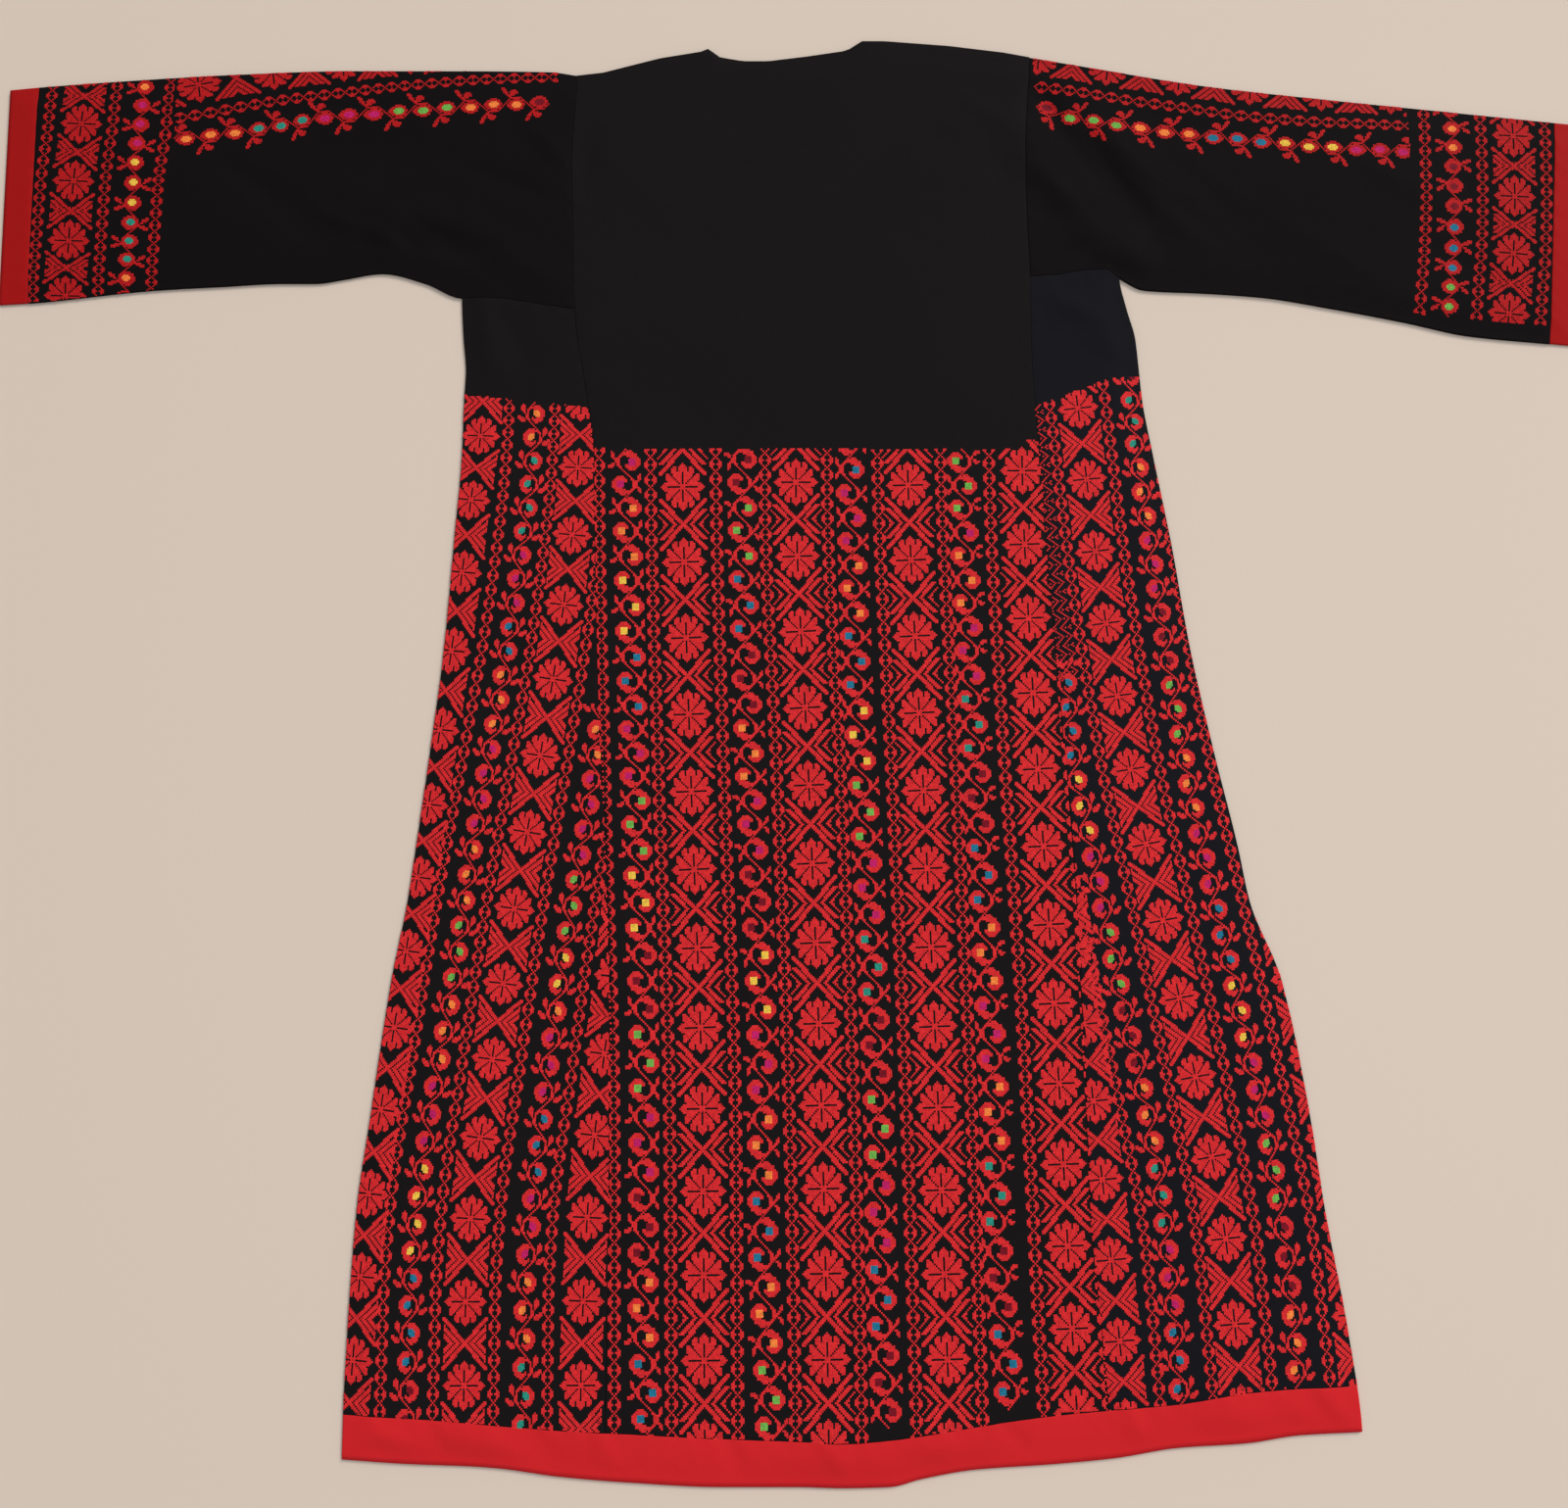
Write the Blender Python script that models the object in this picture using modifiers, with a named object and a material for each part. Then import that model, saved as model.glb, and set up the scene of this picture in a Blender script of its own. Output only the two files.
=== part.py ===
"""A palestinian thobe dress laid flat with its back up: a black back and front, side gores
and sleeves that are each one folded cloth, and red bands round the cuffs and the hem.

The tables are in millimetres: +X runs to the wearer's left sleeve as it lies, +Y to the neck
and +Z up from the surface that the front rests on."""

import math

import bpy
import numpy as np

NAME = "palestinian_thobe_dress"
MM = 0.001

# Cloth and seams
CLOTH = 1.2  # wall of each layer, its embroidery's ground included
GAP = 0.3  # air between the two layers, and between pieces at a seam
HALF_GAP = GAP / 2
FOLD_RADIUS = CLOTH + HALF_GAP  # outer radius of a folded edge
FOLD_STEPS = 6  # facets round a folded edge
LAYER_TOP = 2 * FOLD_RADIUS  # upper side of the shown layer where it lies flat

# The shown layer is puffed up by a little air, and comes down to its outline
PUFF = 2.2
PUFF_WAVE = 0.9
EDGE_FLAT = 1.6  # stays down this far in from the outline
EDGE_RISE = 26.0  # and has its full height this much further in
SOFT_FLOOR = 0.5  # rounds off the places where a trough reaches the layer below

# Bands of red satin
CUFF_BAND = 28.5
CUFF_LEFT_X = -750.1  # seam between the band and the sleeve, straight across
CUFF_RIGHT_LOW = (734.5, 379.5)  # the same seam on the other sleeve leans, from here
CUFF_RIGHT_TOP = (750.5, 605.5)  # to here

# Across the body: y, left fold, left seam, right seam, right fold
BODY_COLUMNS = ("y", "left_fold", "left_seam", "right_seam", "right_fold")
BODY_ROWS = (
    (695, -327, -216, 234, 317),
    (650, -327, -217, 231, 317),
    (570, -327, -221, 226, 317),
    (500, -327, -219, 227, 317),
    (446, -327, -218, 229, 317),
    (415, -326, -216, 229, 323),
    (384, -324, -213, 229, 331),
    (350, -321, -207, 230, 334),
    (325, -322, -203, 231, 336),
    (270, -323, -195, 235, 345),
    (180, -329, -193, 240, 361),
    (80, -336, -190, 247, 376),
    (-20, -347, -185, 254, 396),
    (-110, -358, -179, 260, 416),
    (-163, -365, -177, 263, 426),
    (-235, -378, -174, 265, 453),
    (-350, -393, -173, 268, 474),
    (-450, -405, -172, 270, 487),
    (-550, -410, -173, 278, 503),
    (-640, -412, -174, 284, 513),
    (-700, -412, -174, 288, 514),
)

# Upper edges, from one cuff to the other: x, y
SLEEVE_LEFT_TOP = (
    (-779, 639),
    (-749, 642),
    (-628, 651),
    (-560, 655),
    (-444, 659),
    (-330, 659),
    (-245, 658),
    (-216, 654),
)
SHOULDERS_AND_NECK = (
    (-216, 654),
    (-191, 657),
    (-135, 672),
    (-94, 679),
    (-87, 682),
    (-75, 673),
    (-52, 669),
    (-27, 669),
    (12, 674),
    (51, 680),
    (66, 690),
    (88, 690),
    (152, 685),
    (207, 678),
    (233, 673),
)
SLEEVE_RIGHT_TOP = (
    (233, 673),
    (273, 666),
    (407, 643),
    (517, 630),
    (629, 618),
    (750, 605),
    (779, 602),
)

# Lower edges of the sleeves, which run on as the seams above the side gores: x, y
SLEEVE_LEFT_LOW = (
    (-779, 418),
    (-749, 420),
    (-628, 433),
    (-560, 437),
    (-503, 440),
    (-470, 440),
    (-443, 444),
    (-405, 450),
    (-363, 440),
    (-327, 425),
    (-293, 424),
    (-245, 417),
    (-216, 413),
)
SLEEVE_RIGHT_LOW = (
    (229, 446),
    (258, 448),
    (280, 452),
    (303, 453),
    (317, 445),
    (341, 433),
    (401, 430),
    (455, 426),
    (521, 415),
    (597, 400),
    (655, 387),
    (734, 379),
    (779, 375),
)

# Hem band: x, its upper edge and its lower edge
HEM_COLUMNS = ("x", "top", "low")
HEM_ROWS = (
    (-412, -626, -665),
    (-352, -629, -669),
    (-296, -633, -671),
    (-268, -636, -673),
    (-215, -640, -680),
    (-153, -643, -685),
    (-68, -647, -689),
    (0, -649, -689),
    (41, -651, -690),
    (84, -648, -689),
    (113, -644, -682),
    (160, -637, -674),
    (233, -627, -669),
    (287, -622, -664),
    (345, -617, -655),
    (407, -607, -651),
    (456, -603, -644),
    (514, -601, -641),
)

# How far the hidden front is cut out below the back's neckline
FRONT_NECK_DROP = 75
FRONT_NECK_STEPS = 12
NECK_LEFT, NECK_RIGHT = -87, 66

# Folds of the shown layer: ends, half width, and height, below zero for a trough
FOLD_COLUMNS = ("x0", "y0", "x1", "y1", "half_width", "height")
FOLDS = (
    (243, 623, 355, 484, 15, -3.6),
    (222, 600, 330, 468, 20, 3.0),
    (268, 640, 400, 480, 24, 3.6),
    (246, 545, 312, 466, 13, 2.2),
    (250, 512, 300, 505, 12, -2.0),
    (316, 452, 350, 500, 16, 2.6),
    (400, 560, 560, 470, 34, 1.6),
    (480, 585, 700, 500, 40, 1.2),
    (60, 578, -54, 453, 30, 1.5),
    (90, 560, -20, 420, 20, -1.0),
    (-180, 628, -40, 645, 26, -1.8),
    (-209, 600, -209, 540, 12, -1.8),
    (190, 590, 205, 540, 14, -1.6),
    (-455, 575, -350, 576, 20, -1.9),
    (-504, 523, -462, 489, 14, -2.0),
    (-430, 520, -330, 500, 18, 2.0),
    (-411, 474, -346, 482, 11, -2.4),
    (-405, 458, -395, 500, 12, 2.4),
    (-346, 483, -303, 468, 11, -2.4),
    (-300, 480, -235, 440, 14, 2.4),
    (-650, 560, -540, 500, 30, 1.4),
    (-288, 398, -262, 366, 12, -2.0),
    (-310, 405, -275, 345, 14, 1.6),
    (260, 420, 325, 380, 14, 1.8),
    (250, 395, 320, 400, 12, -1.6),
    (-150, 420, 40, 300, 40, 1.2),
    (100, 420, 190, 300, 36, 1.0),
    (-182, 80, -172, -420, 26, 1.3),
    (-215, 60, -205, -430, 18, -1.2),
    (-330, -200, -250, -560, 40, 1.0),
    (300, -60, 340, -520, 36, 1.1),
    (60, -100, 80, -600, 60, 0.8),
    (-312, -640, -255, -668, 14, 2.0),
    (-255, -640, -215, -672, 12, -1.6),
    (110, -640, 150, -676, 14, 1.6),
    (380, -610, 420, -650, 16, 1.3),
)

BLACK_CLOTH = (0.012, 0.010, 0.012)
RED_SATIN = (0.50, 0.016, 0.022)


def curve(rows, at):
    """Reads (place, value) rows at any places, smoothly and with no overshoot."""
    places, values = np.array(rows, float).T
    steps = np.diff(places)
    slopes = np.diff(values) / steps
    product = slopes[1:] * slopes[:-1]
    total = np.where(product > 0, slopes[1:] + slopes[:-1], 1)
    tangents = np.concatenate((slopes[:1], np.where(product > 0, 2 * product / total, 0), slopes[-1:]))
    held = np.clip(at, places[0], places[-1])
    i = np.clip(np.searchsorted(places, held) - 1, 0, len(steps) - 1)
    t = (held - places[i]) / steps[i]
    start = (1 + 2 * t) * (1 - t) ** 2 * values[i] + t * (1 - t) ** 2 * steps[i] * tangents[i]
    end = t * t * (3 - 2 * t) * values[i + 1] - t * t * (1 - t) * steps[i] * tangents[i + 1]
    return start + end


def body_x(column, y):
    """The x of one of the body's long lines at y."""
    k = BODY_COLUMNS.index(column)
    return curve([(row[0], row[k]) for row in reversed(BODY_ROWS)], y)


def hem_y(column, x):
    k = HEM_COLUMNS.index(column)
    return curve([(row[0], row[k]) for row in HEM_ROWS], x)


def neck_y(x):
    """The back's shoulders and neckline, whose points at the neck stay sharp."""
    return np.interp(x, *np.array(SHOULDERS_AND_NECK, float).T)


def front_neck_y(x):
    """The front's neckline, cut lower between the same two points."""
    across = np.clip((x - NECK_LEFT) / (NECK_RIGHT - NECK_LEFT), 0, 1)
    drop = FRONT_NECK_DROP * np.sqrt(np.sin(math.pi * across))
    return neck_y(x) - drop


def cuff_right_x(y):
    lean = (CUFF_RIGHT_TOP[0] - CUFF_RIGHT_LOW[0]) / (CUFF_RIGHT_TOP[1] - CUFF_RIGHT_LOW[1])
    return CUFF_RIGHT_LOW[0] + lean * (y - CUFF_RIGHT_LOW[1])


def outline():
    """The whole garment's outline in plan, as a closed run of points."""
    left_cuff = CUFF_LEFT_X - CUFF_BAND
    right_cuff = [(cuff_right_x(y) + CUFF_BAND, y) for y in (602, 376)]
    low_right = [p for p in reversed(SLEEVE_RIGHT_LOW) if 317 <= p[0] < 760]
    side_ys = [row[0] for row in BODY_ROWS if -640 <= row[0] <= 415]
    right_side = [(float(body_x("right_fold", y)), y) for y in side_ys]
    hem = [(row[0], row[2]) for row in reversed(HEM_ROWS)]
    left_side = [(float(body_x("left_fold", y)), y) for y in reversed(side_ys)]
    low_left = [p for p in reversed(SLEEVE_LEFT_LOW) if left_cuff < p[0] <= -327]
    top = [p for p in SLEEVE_LEFT_TOP if p[0] > left_cuff] + list(SHOULDERS_AND_NECK[1:])
    top += [p for p in SLEEVE_RIGHT_TOP[1:] if p[0] < 779]
    cuff_left = [(left_cuff, 418), (left_cuff, 639)]
    return np.array(top + right_cuff + low_right + right_side + hem + left_side + low_left + cuff_left, float)


def distance_to(points, start, end):
    """How far points lie from a straight run, and how far along it, from 0 to 1."""
    run = end - start
    along = np.clip(((points - start) @ run) / (run @ run), 0, 1)
    return np.linalg.norm(points - start - along[..., None] * run, axis=-1), along


def smooth_step(t):
    t = np.clip(t, 0, 1)
    return t * t * (3 - 2 * t)


OUTLINE = outline()


def top_height(points):
    """Height of the shown layer's upper side over points in plan."""
    x, y = points[..., 0], points[..., 1]
    nearest = np.full(points.shape[:-1], np.inf)
    for start, end in zip(OUTLINE, np.roll(OUTLINE, -1, axis=0)):
        nearest = np.minimum(nearest, distance_to(points, start, end)[0])
    rise = PUFF + PUFF_WAVE * np.sin(x / 71 + 1.3 * np.sin(y / 118)) * np.cos(y / 93 + 0.6)
    for row in FOLDS:
        fold = dict(zip(FOLD_COLUMNS, row))
        start = np.array((fold["x0"], fold["y0"]), float)
        end = np.array((fold["x1"], fold["y1"]), float)
        away, along = distance_to(points, start, end)
        profile = smooth_step(1 - away / (2 * fold["half_width"]))
        rise = rise + fold["height"] * profile * (0.55 + 0.45 * np.sin(math.pi * along))
    rise = (rise + np.sqrt(rise * rise + SOFT_FLOOR**2)) / 2
    return LAYER_TOP + rise * smooth_step((nearest - EDGE_FLAT) / EDGE_RISE)


def patch(sides, across, along, along_last=None):
    """Points in plan of a four-sided piece, at shares of its width and of its length. The
    shares of its length may differ from its first side to its last."""
    left, right, top, low = sides
    u, v = np.meshgrid(across, along, indexing="ij")
    if along_last is not None:
        v = v + u * (along_last - along)
    y = np.zeros_like(u)
    x = np.zeros_like(u)
    for _ in range(12):
        x = left(y) + u * (right(y) - left(y))
        y = top(x) + v * (low(x) - top(x))
    return np.stack((x, y), axis=-1)


def lifted(plan, height):
    return np.concatenate((plan, np.broadcast_to(height, plan.shape[:-1])[..., None]), axis=-1)


def folded_rows(plan, first_fold, last_fold):
    """Rows of points round a cloth that lies double: its shown layer, a rounded fold at one
    or both ends of the plan's rows, and the layer below."""
    plan = plan.copy()
    turns = []
    for folded, end, inner in ((first_fold, 0, 1), (last_fold, -1, -2)):
        out = plan[end] - plan[inner]
        out = out / np.linalg.norm(out, axis=-1, keepdims=True)
        turn = []
        if folded:
            plan[end] = plan[end] - out * FOLD_RADIUS
            for angle in np.linspace(0, math.pi, FOLD_STEPS + 1)[1:-1]:
                shift = out * FOLD_RADIUS * math.sin(angle)
                turn.append(lifted(plan[end] + shift, FOLD_RADIUS * (1 + math.cos(angle))))
        turns.append(turn)
    shown = list(lifted(plan, top_height(plan)))
    below = list(lifted(plan[::-1], 0.0))
    return shown + turns[1] + below + turns[0][::-1]


def shares(*stretches):
    """Shares from 0 to 1 in even steps within each stretch: its end, and its steps."""
    found = [0.0]
    for end, steps in stretches:
        found += list(np.linspace(found[-1], end, steps + 1)[1:])
    return np.array(found)


def shares_of(places):
    """Shares of a run that ends at the first and last of these places."""
    places = np.array(places)
    return (places - places[0]) / (places[-1] - places[0])


def gore_plans():
    along = shares((0.2, 8), (1, 24))
    left = (
        lambda y: body_x("left_fold", y),
        lambda y: body_x("left_seam", y) - HALF_GAP,
        lambda x: curve(SLEEVE_LEFT_LOW, x) - HALF_GAP,
        lambda x: hem_y("top", x) + HALF_GAP,
    )
    right = (
        lambda y: body_x("right_seam", y) + HALF_GAP,
        lambda y: body_x("right_fold", y),
        lambda x: curve(SLEEVE_RIGHT_LOW, x) - HALF_GAP,
        lambda x: hem_y("top", x) + HALF_GAP,
    )
    return patch(left, shares((0.2, 2), (1, 6)), along), patch(right, shares((0.8, 6), (1, 2)), along)


def sleeve_plans():
    """Above its gore a sleeve has the gore's own points, so that the seam is even."""
    down = shares((0.1, 2), (0.9, 8), (1, 2))
    gore_left, gore_right = gore_plans()
    to_left = np.linspace(CUFF_LEFT_X, gore_left[0, 0, 0], 15)
    to_right = np.linspace(gore_right[-1, 0, 0], CUFF_RIGHT_LOW[0], 15)
    left = (
        lambda y: CUFF_LEFT_X + 0 * y,
        lambda y: body_x("left_seam", y) - HALF_GAP,
        lambda x: curve(SLEEVE_LEFT_TOP, x),
        lambda x: curve(SLEEVE_LEFT_LOW, x) + HALF_GAP,
    )
    right = (
        lambda y: body_x("right_seam", y) + HALF_GAP,
        cuff_right_x,
        lambda x: curve(SLEEVE_RIGHT_TOP, x),
        lambda x: curve(SLEEVE_RIGHT_LOW, x) + HALF_GAP,
    )
    left_places = [*to_left[:-1], *gore_left[:, 0, 0]]
    right_places = [*gore_right[:, 0, 0], *to_right[1:]]
    return patch(left, shares_of(left_places), down), patch(right, shares_of(right_places), down)


def seam_ys():
    """Where the rows of the sleeves and the gores meet the two long seams."""
    gore_left, gore_right = gore_plans()
    sleeve_left, sleeve_right = sleeve_plans()
    left = np.concatenate((sleeve_left[-1, :, 1], gore_left[-1, 1:, 1]))
    right = np.concatenate((sleeve_right[0, :, 1], gore_right[0, 1:, 1]))
    return left, right


def back_plan():
    """The back, with lines of points on the corners of the neck and rows that meet the rows
    of the pieces beside it."""
    left_x, right_x = SHOULDERS_AND_NECK[0][0], SHOULDERS_AND_NECK[-1][0]
    at_left, at_right = ((x - left_x) / (right_x - left_x) for x in (NECK_LEFT, NECK_RIGHT))
    left_ys, right_ys = seam_ys()
    sides = (
        lambda y: body_x("left_seam", y) + HALF_GAP,
        lambda y: body_x("right_seam", y) - HALF_GAP,
        neck_y,
        lambda x: hem_y("top", x) + HALF_GAP,
    )
    across = shares((at_left, 6), (at_right, 8), (1, 8))
    return patch(sides, across, shares_of(left_ys), shares_of(right_ys))


def paint(piece, colour, roughness):
    material = bpy.data.materials.new(piece.name)
    material.use_nodes = True
    shader = material.node_tree.nodes["Principled BSDF"]
    shader.inputs["Base Color"].default_value = (*colour, 1)
    shader.inputs["Roughness"].default_value = roughness
    material.diffuse_color = (*colour, 1)
    piece.data.materials.append(material)
    collection.objects.link(piece)


def cloth_object(name, rows, closed, colour, roughness):
    """A wall of cloth on rows of points, with its thickness inwards."""
    rows = np.array(rows)
    count, length = rows.shape[:2]
    if np.cross(rows[1, 0, :2] - rows[0, 0, :2], rows[0, 1, :2] - rows[0, 0, :2]) < 0:
        rows = rows[:, ::-1]
    faces = []
    for i in range(count if closed else count - 1):
        here, after = i * length, (i + 1) % count * length
        faces += [(here + j, after + j, after + j + 1, here + j + 1) for j in range(length - 1)]
    mesh = bpy.data.meshes.new(name)
    mesh.from_pydata((rows.reshape(-1, 3) * MM).tolist(), [], faces)
    mesh.shade_smooth()
    piece = bpy.data.objects.new(name, mesh)
    wall = piece.modifiers.new("wall", "SOLIDIFY")
    wall.thickness = CLOTH * MM
    wall.offset = -1
    wall.use_even_offset = True
    paint(piece, colour, roughness)


def make_back():
    plan = back_plan()
    cloth_object("back_centre", lifted(plan, top_height(plan)), False, BLACK_CLOTH, 0.85)


def make_front():
    """The front lies flat under the back, cut to the same seams but lower at the neck."""
    plan = back_plan()
    neck_xs = np.linspace(NECK_LEFT, NECK_RIGHT, FRONT_NECK_STEPS + 1)
    top = [(x, neck_y(x)) for x in plan[:, 0, 0] if x < NECK_LEFT - 1]
    top += [(x, front_neck_y(x)) for x in neck_xs]
    top += [(x, neck_y(x)) for x in plan[:, 0, 0] if x > NECK_RIGHT + 1]
    edge = [*top, *plan[-1, 1:], *plan[::-1, -1][1:], *plan[0, ::-1][1:-1]]
    outline_curve = bpy.data.curves.new("front_centre", "CURVE")
    outline_curve.dimensions = "2D"
    outline_curve.fill_mode = "BOTH"
    outline_curve.extrude = CLOTH / 2 * MM
    spline = outline_curve.splines.new("POLY")
    spline.points.add(len(edge) - 1)
    for point, (x, y) in zip(spline.points, edge):
        point.co = (x * MM, y * MM, 0, 1)
    spline.use_cyclic_u = True
    front = bpy.data.objects.new("front_centre", outline_curve)
    front.location.z = CLOTH / 2 * MM
    paint(front, BLACK_CLOTH, 0.85)


def make_side_gores():
    """Each side gore is one cloth from the back's seam round to the front's."""
    left, right = gore_plans()
    cloth_object("side_left", folded_rows(left[::-1], False, True), False, BLACK_CLOTH, 0.85)
    cloth_object("side_right", folded_rows(right, False, True), False, BLACK_CLOTH, 0.85)


def make_sleeves():
    """Each sleeve is one cloth folded along its top, with its seam along the lower edge."""
    for name, plan in zip(("sleeve_left", "sleeve_right"), sleeve_plans()):
        rows = folded_rows(plan.transpose(1, 0, 2)[::-1], False, True)
        cloth_object(name, rows, False, BLACK_CLOTH, 0.85)


def make_cuffs():
    """A red band all round the end of each sleeve."""
    down = shares((0.06, 1), (0.94, 6), (1, 1))
    left = (
        lambda y: CUFF_LEFT_X - CUFF_BAND + 0 * y,
        lambda y: CUFF_LEFT_X - GAP + 0 * y,
        lambda x: curve(SLEEVE_LEFT_TOP, x),
        lambda x: curve(SLEEVE_LEFT_LOW, x),
    )
    right = (
        lambda y: cuff_right_x(y) + GAP,
        lambda y: cuff_right_x(y) + CUFF_BAND,
        lambda x: curve(SLEEVE_RIGHT_TOP, x),
        lambda x: curve(SLEEVE_RIGHT_LOW, x),
    )
    for name, sides in (("cuff_left", left), ("cuff_right", right)):
        plan = patch(sides, shares((1, 2)), down).transpose(1, 0, 2)
        cloth_object(name, folded_rows(plan, True, True), True, RED_SATIN, 0.45)


def make_hem():
    """The red band all round the hem, with the points of the three panels that end on it."""
    gore_left, gore_right = gore_plans()
    panels = (gore_left, back_plan()[1:], gore_right[1:])
    places = np.concatenate([panel[:, -1, 0] for panel in panels])
    sides = (
        lambda y: body_x("left_fold", y),
        lambda y: body_x("right_fold", y),
        lambda x: hem_y("top", x) - HALF_GAP,
        lambda x: hem_y("low", x),
    )
    plan = patch(sides, shares_of(places), shares((1, 3)))
    cloth_object("hem_band", folded_rows(plan, True, True), True, RED_SATIN, 0.45)


for old in list(bpy.data.objects):
    bpy.data.objects.remove(old)
collection = bpy.data.collections.new(NAME)
bpy.context.scene.collection.children.link(collection)
make_back()
make_front()
make_side_gores()
make_sleeves()
make_cuffs()
make_hem()
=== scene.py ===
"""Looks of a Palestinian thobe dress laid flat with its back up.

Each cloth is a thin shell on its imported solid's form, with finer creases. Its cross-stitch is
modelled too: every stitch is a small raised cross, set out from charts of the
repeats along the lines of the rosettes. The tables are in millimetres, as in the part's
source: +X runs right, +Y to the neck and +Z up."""

import math

import bpy
import numpy as np
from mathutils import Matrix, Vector


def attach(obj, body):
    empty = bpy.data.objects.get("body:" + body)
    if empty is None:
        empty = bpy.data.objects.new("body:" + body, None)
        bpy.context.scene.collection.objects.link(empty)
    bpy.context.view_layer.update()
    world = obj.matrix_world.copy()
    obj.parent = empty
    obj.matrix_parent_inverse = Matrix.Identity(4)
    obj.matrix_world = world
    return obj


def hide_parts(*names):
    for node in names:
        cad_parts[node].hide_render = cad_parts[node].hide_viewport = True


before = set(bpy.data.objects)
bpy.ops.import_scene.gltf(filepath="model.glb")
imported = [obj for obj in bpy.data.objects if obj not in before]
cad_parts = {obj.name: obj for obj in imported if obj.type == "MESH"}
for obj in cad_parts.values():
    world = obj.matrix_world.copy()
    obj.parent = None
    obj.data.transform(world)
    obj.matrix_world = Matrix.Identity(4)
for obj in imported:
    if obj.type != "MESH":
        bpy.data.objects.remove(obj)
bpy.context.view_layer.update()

MM = 0.001
random = np.random.default_rng(11)


def table(text):
    """Rows of numbers from text, with a comma or a new line between two rows."""
    rows = text.strip().replace(",", "\n").split("\n")
    return tuple(tuple(map(float, row.split())) for row in rows if row)


# Cloth and seams, as in the part's source
CLOTH = 1.2
SHELL = 0.9  # wall of the shells here, within the solids' wall
HALF_GAP = 0.15  # between two solids at a seam
SEAM_GAP = 0.05  # what is left open between two shells at a seam
FOLD_RADIUS = CLOTH + HALF_GAP
FOLD_STEPS = 8
LAYER_TOP = 2 * FOLD_RADIUS
PUFF = 2.2
PUFF_WAVE = 0.9
EDGE_FLAT = 1.6
EDGE_RISE = 26.0
SOFT_FLOOR = 0.5
CUFF_BAND = 28.5
CUFF_LEFT_X = -750.1
CUFF_RIGHT_LOW = (734.5, 379.5)
CUFF_RIGHT_TOP = (750.5, 605.5)

BODY_COLUMNS = ("y", "left_fold", "left_seam", "right_seam", "right_fold")
BODY_ROWS = table("""
695 -327 -216 234 317
650 -327 -217 231 317
570 -327 -221 226 317
500 -327 -219 227 317
446 -327 -218 229 317
415 -326 -216 229 323
384 -324 -213 229 331
350 -321 -207 230 334
325 -322 -203 231 336
270 -323 -195 235 345
180 -329 -193 240 361
80 -336 -190 247 376
-20 -347 -185 254 396
-110 -358 -179 260 416
-163 -365 -177 263 426
-235 -378 -174 265 453
-350 -393 -173 268 474
-450 -405 -172 270 487
-550 -410 -173 278 503
-640 -412 -174 284 513
-700 -412 -174 288 514
""")

# Upper edges, from one cuff to the other: x, y
SLEEVE_LEFT_TOP = table("""
-779 639, -749 642, -628 651, -560 655, -444 659, -330 659, -245 658, -216 654
""")
SHOULDERS_AND_NECK = table("""
-216 654, -191 657, -135 672, -94 679, -87 682, -75 673, -52 669, -27 669, 12 674, 51 680,
66 690, 88 690, 152 685, 207 678, 233 673
""")
SLEEVE_RIGHT_TOP = table("""
233 673, 273 666, 407 643, 517 630, 629 618, 750 605, 779 602
""")

# Lower edges of the sleeves, which run on as the seams above the side gores: x, y
SLEEVE_LEFT_LOW = table("""
-779 418, -749 420, -628 433, -560 437, -503 440, -470 440, -443 444, -405 450, -363 440,
-327 425, -293 424, -245 417, -216 413
""")
SLEEVE_RIGHT_LOW = table("""
229 446, 258 448, 280 452, 303 453, 317 445, 341 433, 401 430, 455 426, 521 415, 597 400,
655 387, 734 379, 779 375
""")

HEM_COLUMNS = ("x", "top", "low")
HEM_ROWS = table("""
-412 -626 -665
-352 -629 -669
-296 -633 -671
-268 -636 -673
-215 -640 -680
-153 -643 -685
-68 -647 -689
0 -649 -689
41 -651 -690
84 -648 -689
113 -644 -682
160 -637 -674
233 -627 -669
287 -622 -664
345 -617 -655
407 -607 -651
456 -603 -644
514 -601 -641
""")

# Where the outline's runs meet
ARMPITS = (-327, 317)
SIDE_YS = (-640, 415)
LEFT_CUFF_END_YS = (418, 639)
RIGHT_CUFF_END_YS = (602, 376)
RIGHT_REACH = 779

FRONT_NECK_DROP = 75
NECK_LEFT, NECK_RIGHT = -87, 66

# Folds of the shown layer: ends, half width, and height, below zero for a trough
FOLD_COLUMNS = ("x0", "y0", "x1", "y1", "half_width", "height")
FOLDS = table("""
243 623 355 484 15 -3.6
222 600 330 468 20 3
268 640 400 480 24 3.6
246 545 312 466 13 2.2
250 512 300 505 12 -2
316 452 350 500 16 2.6
400 560 560 470 34 1.6
480 585 700 500 40 1.2
60 578 -54 453 30 1.5
90 560 -20 420 20 -1
-180 628 -40 645 26 -1.8
-209 600 -209 540 12 -1.8
190 590 205 540 14 -1.6
-455 575 -350 576 20 -1.9
-504 523 -462 489 14 -2
-430 520 -330 500 18 2
-411 474 -346 482 11 -2.4
-405 458 -395 500 12 2.4
-346 483 -303 468 11 -2.4
-300 480 -235 440 14 2.4
-650 560 -540 500 30 1.4
-288 398 -262 366 12 -2
-310 405 -275 345 14 1.6
260 420 325 380 14 1.8
250 395 320 400 12 -1.6
-150 420 40 300 40 1.2
100 420 190 300 36 1
-182 80 -172 -420 26 1.3
-215 60 -205 -430 18 -1.2
-330 -200 -250 -560 40 1
300 -60 340 -520 36 1.1
60 -100 80 -600 60 0.8
-312 -640 -255 -668 14 2
-255 -640 -215 -672 12 -1.6
110 -640 150 -676 14 1.6
380 -610 420 -650 16 1.3
""")

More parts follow.
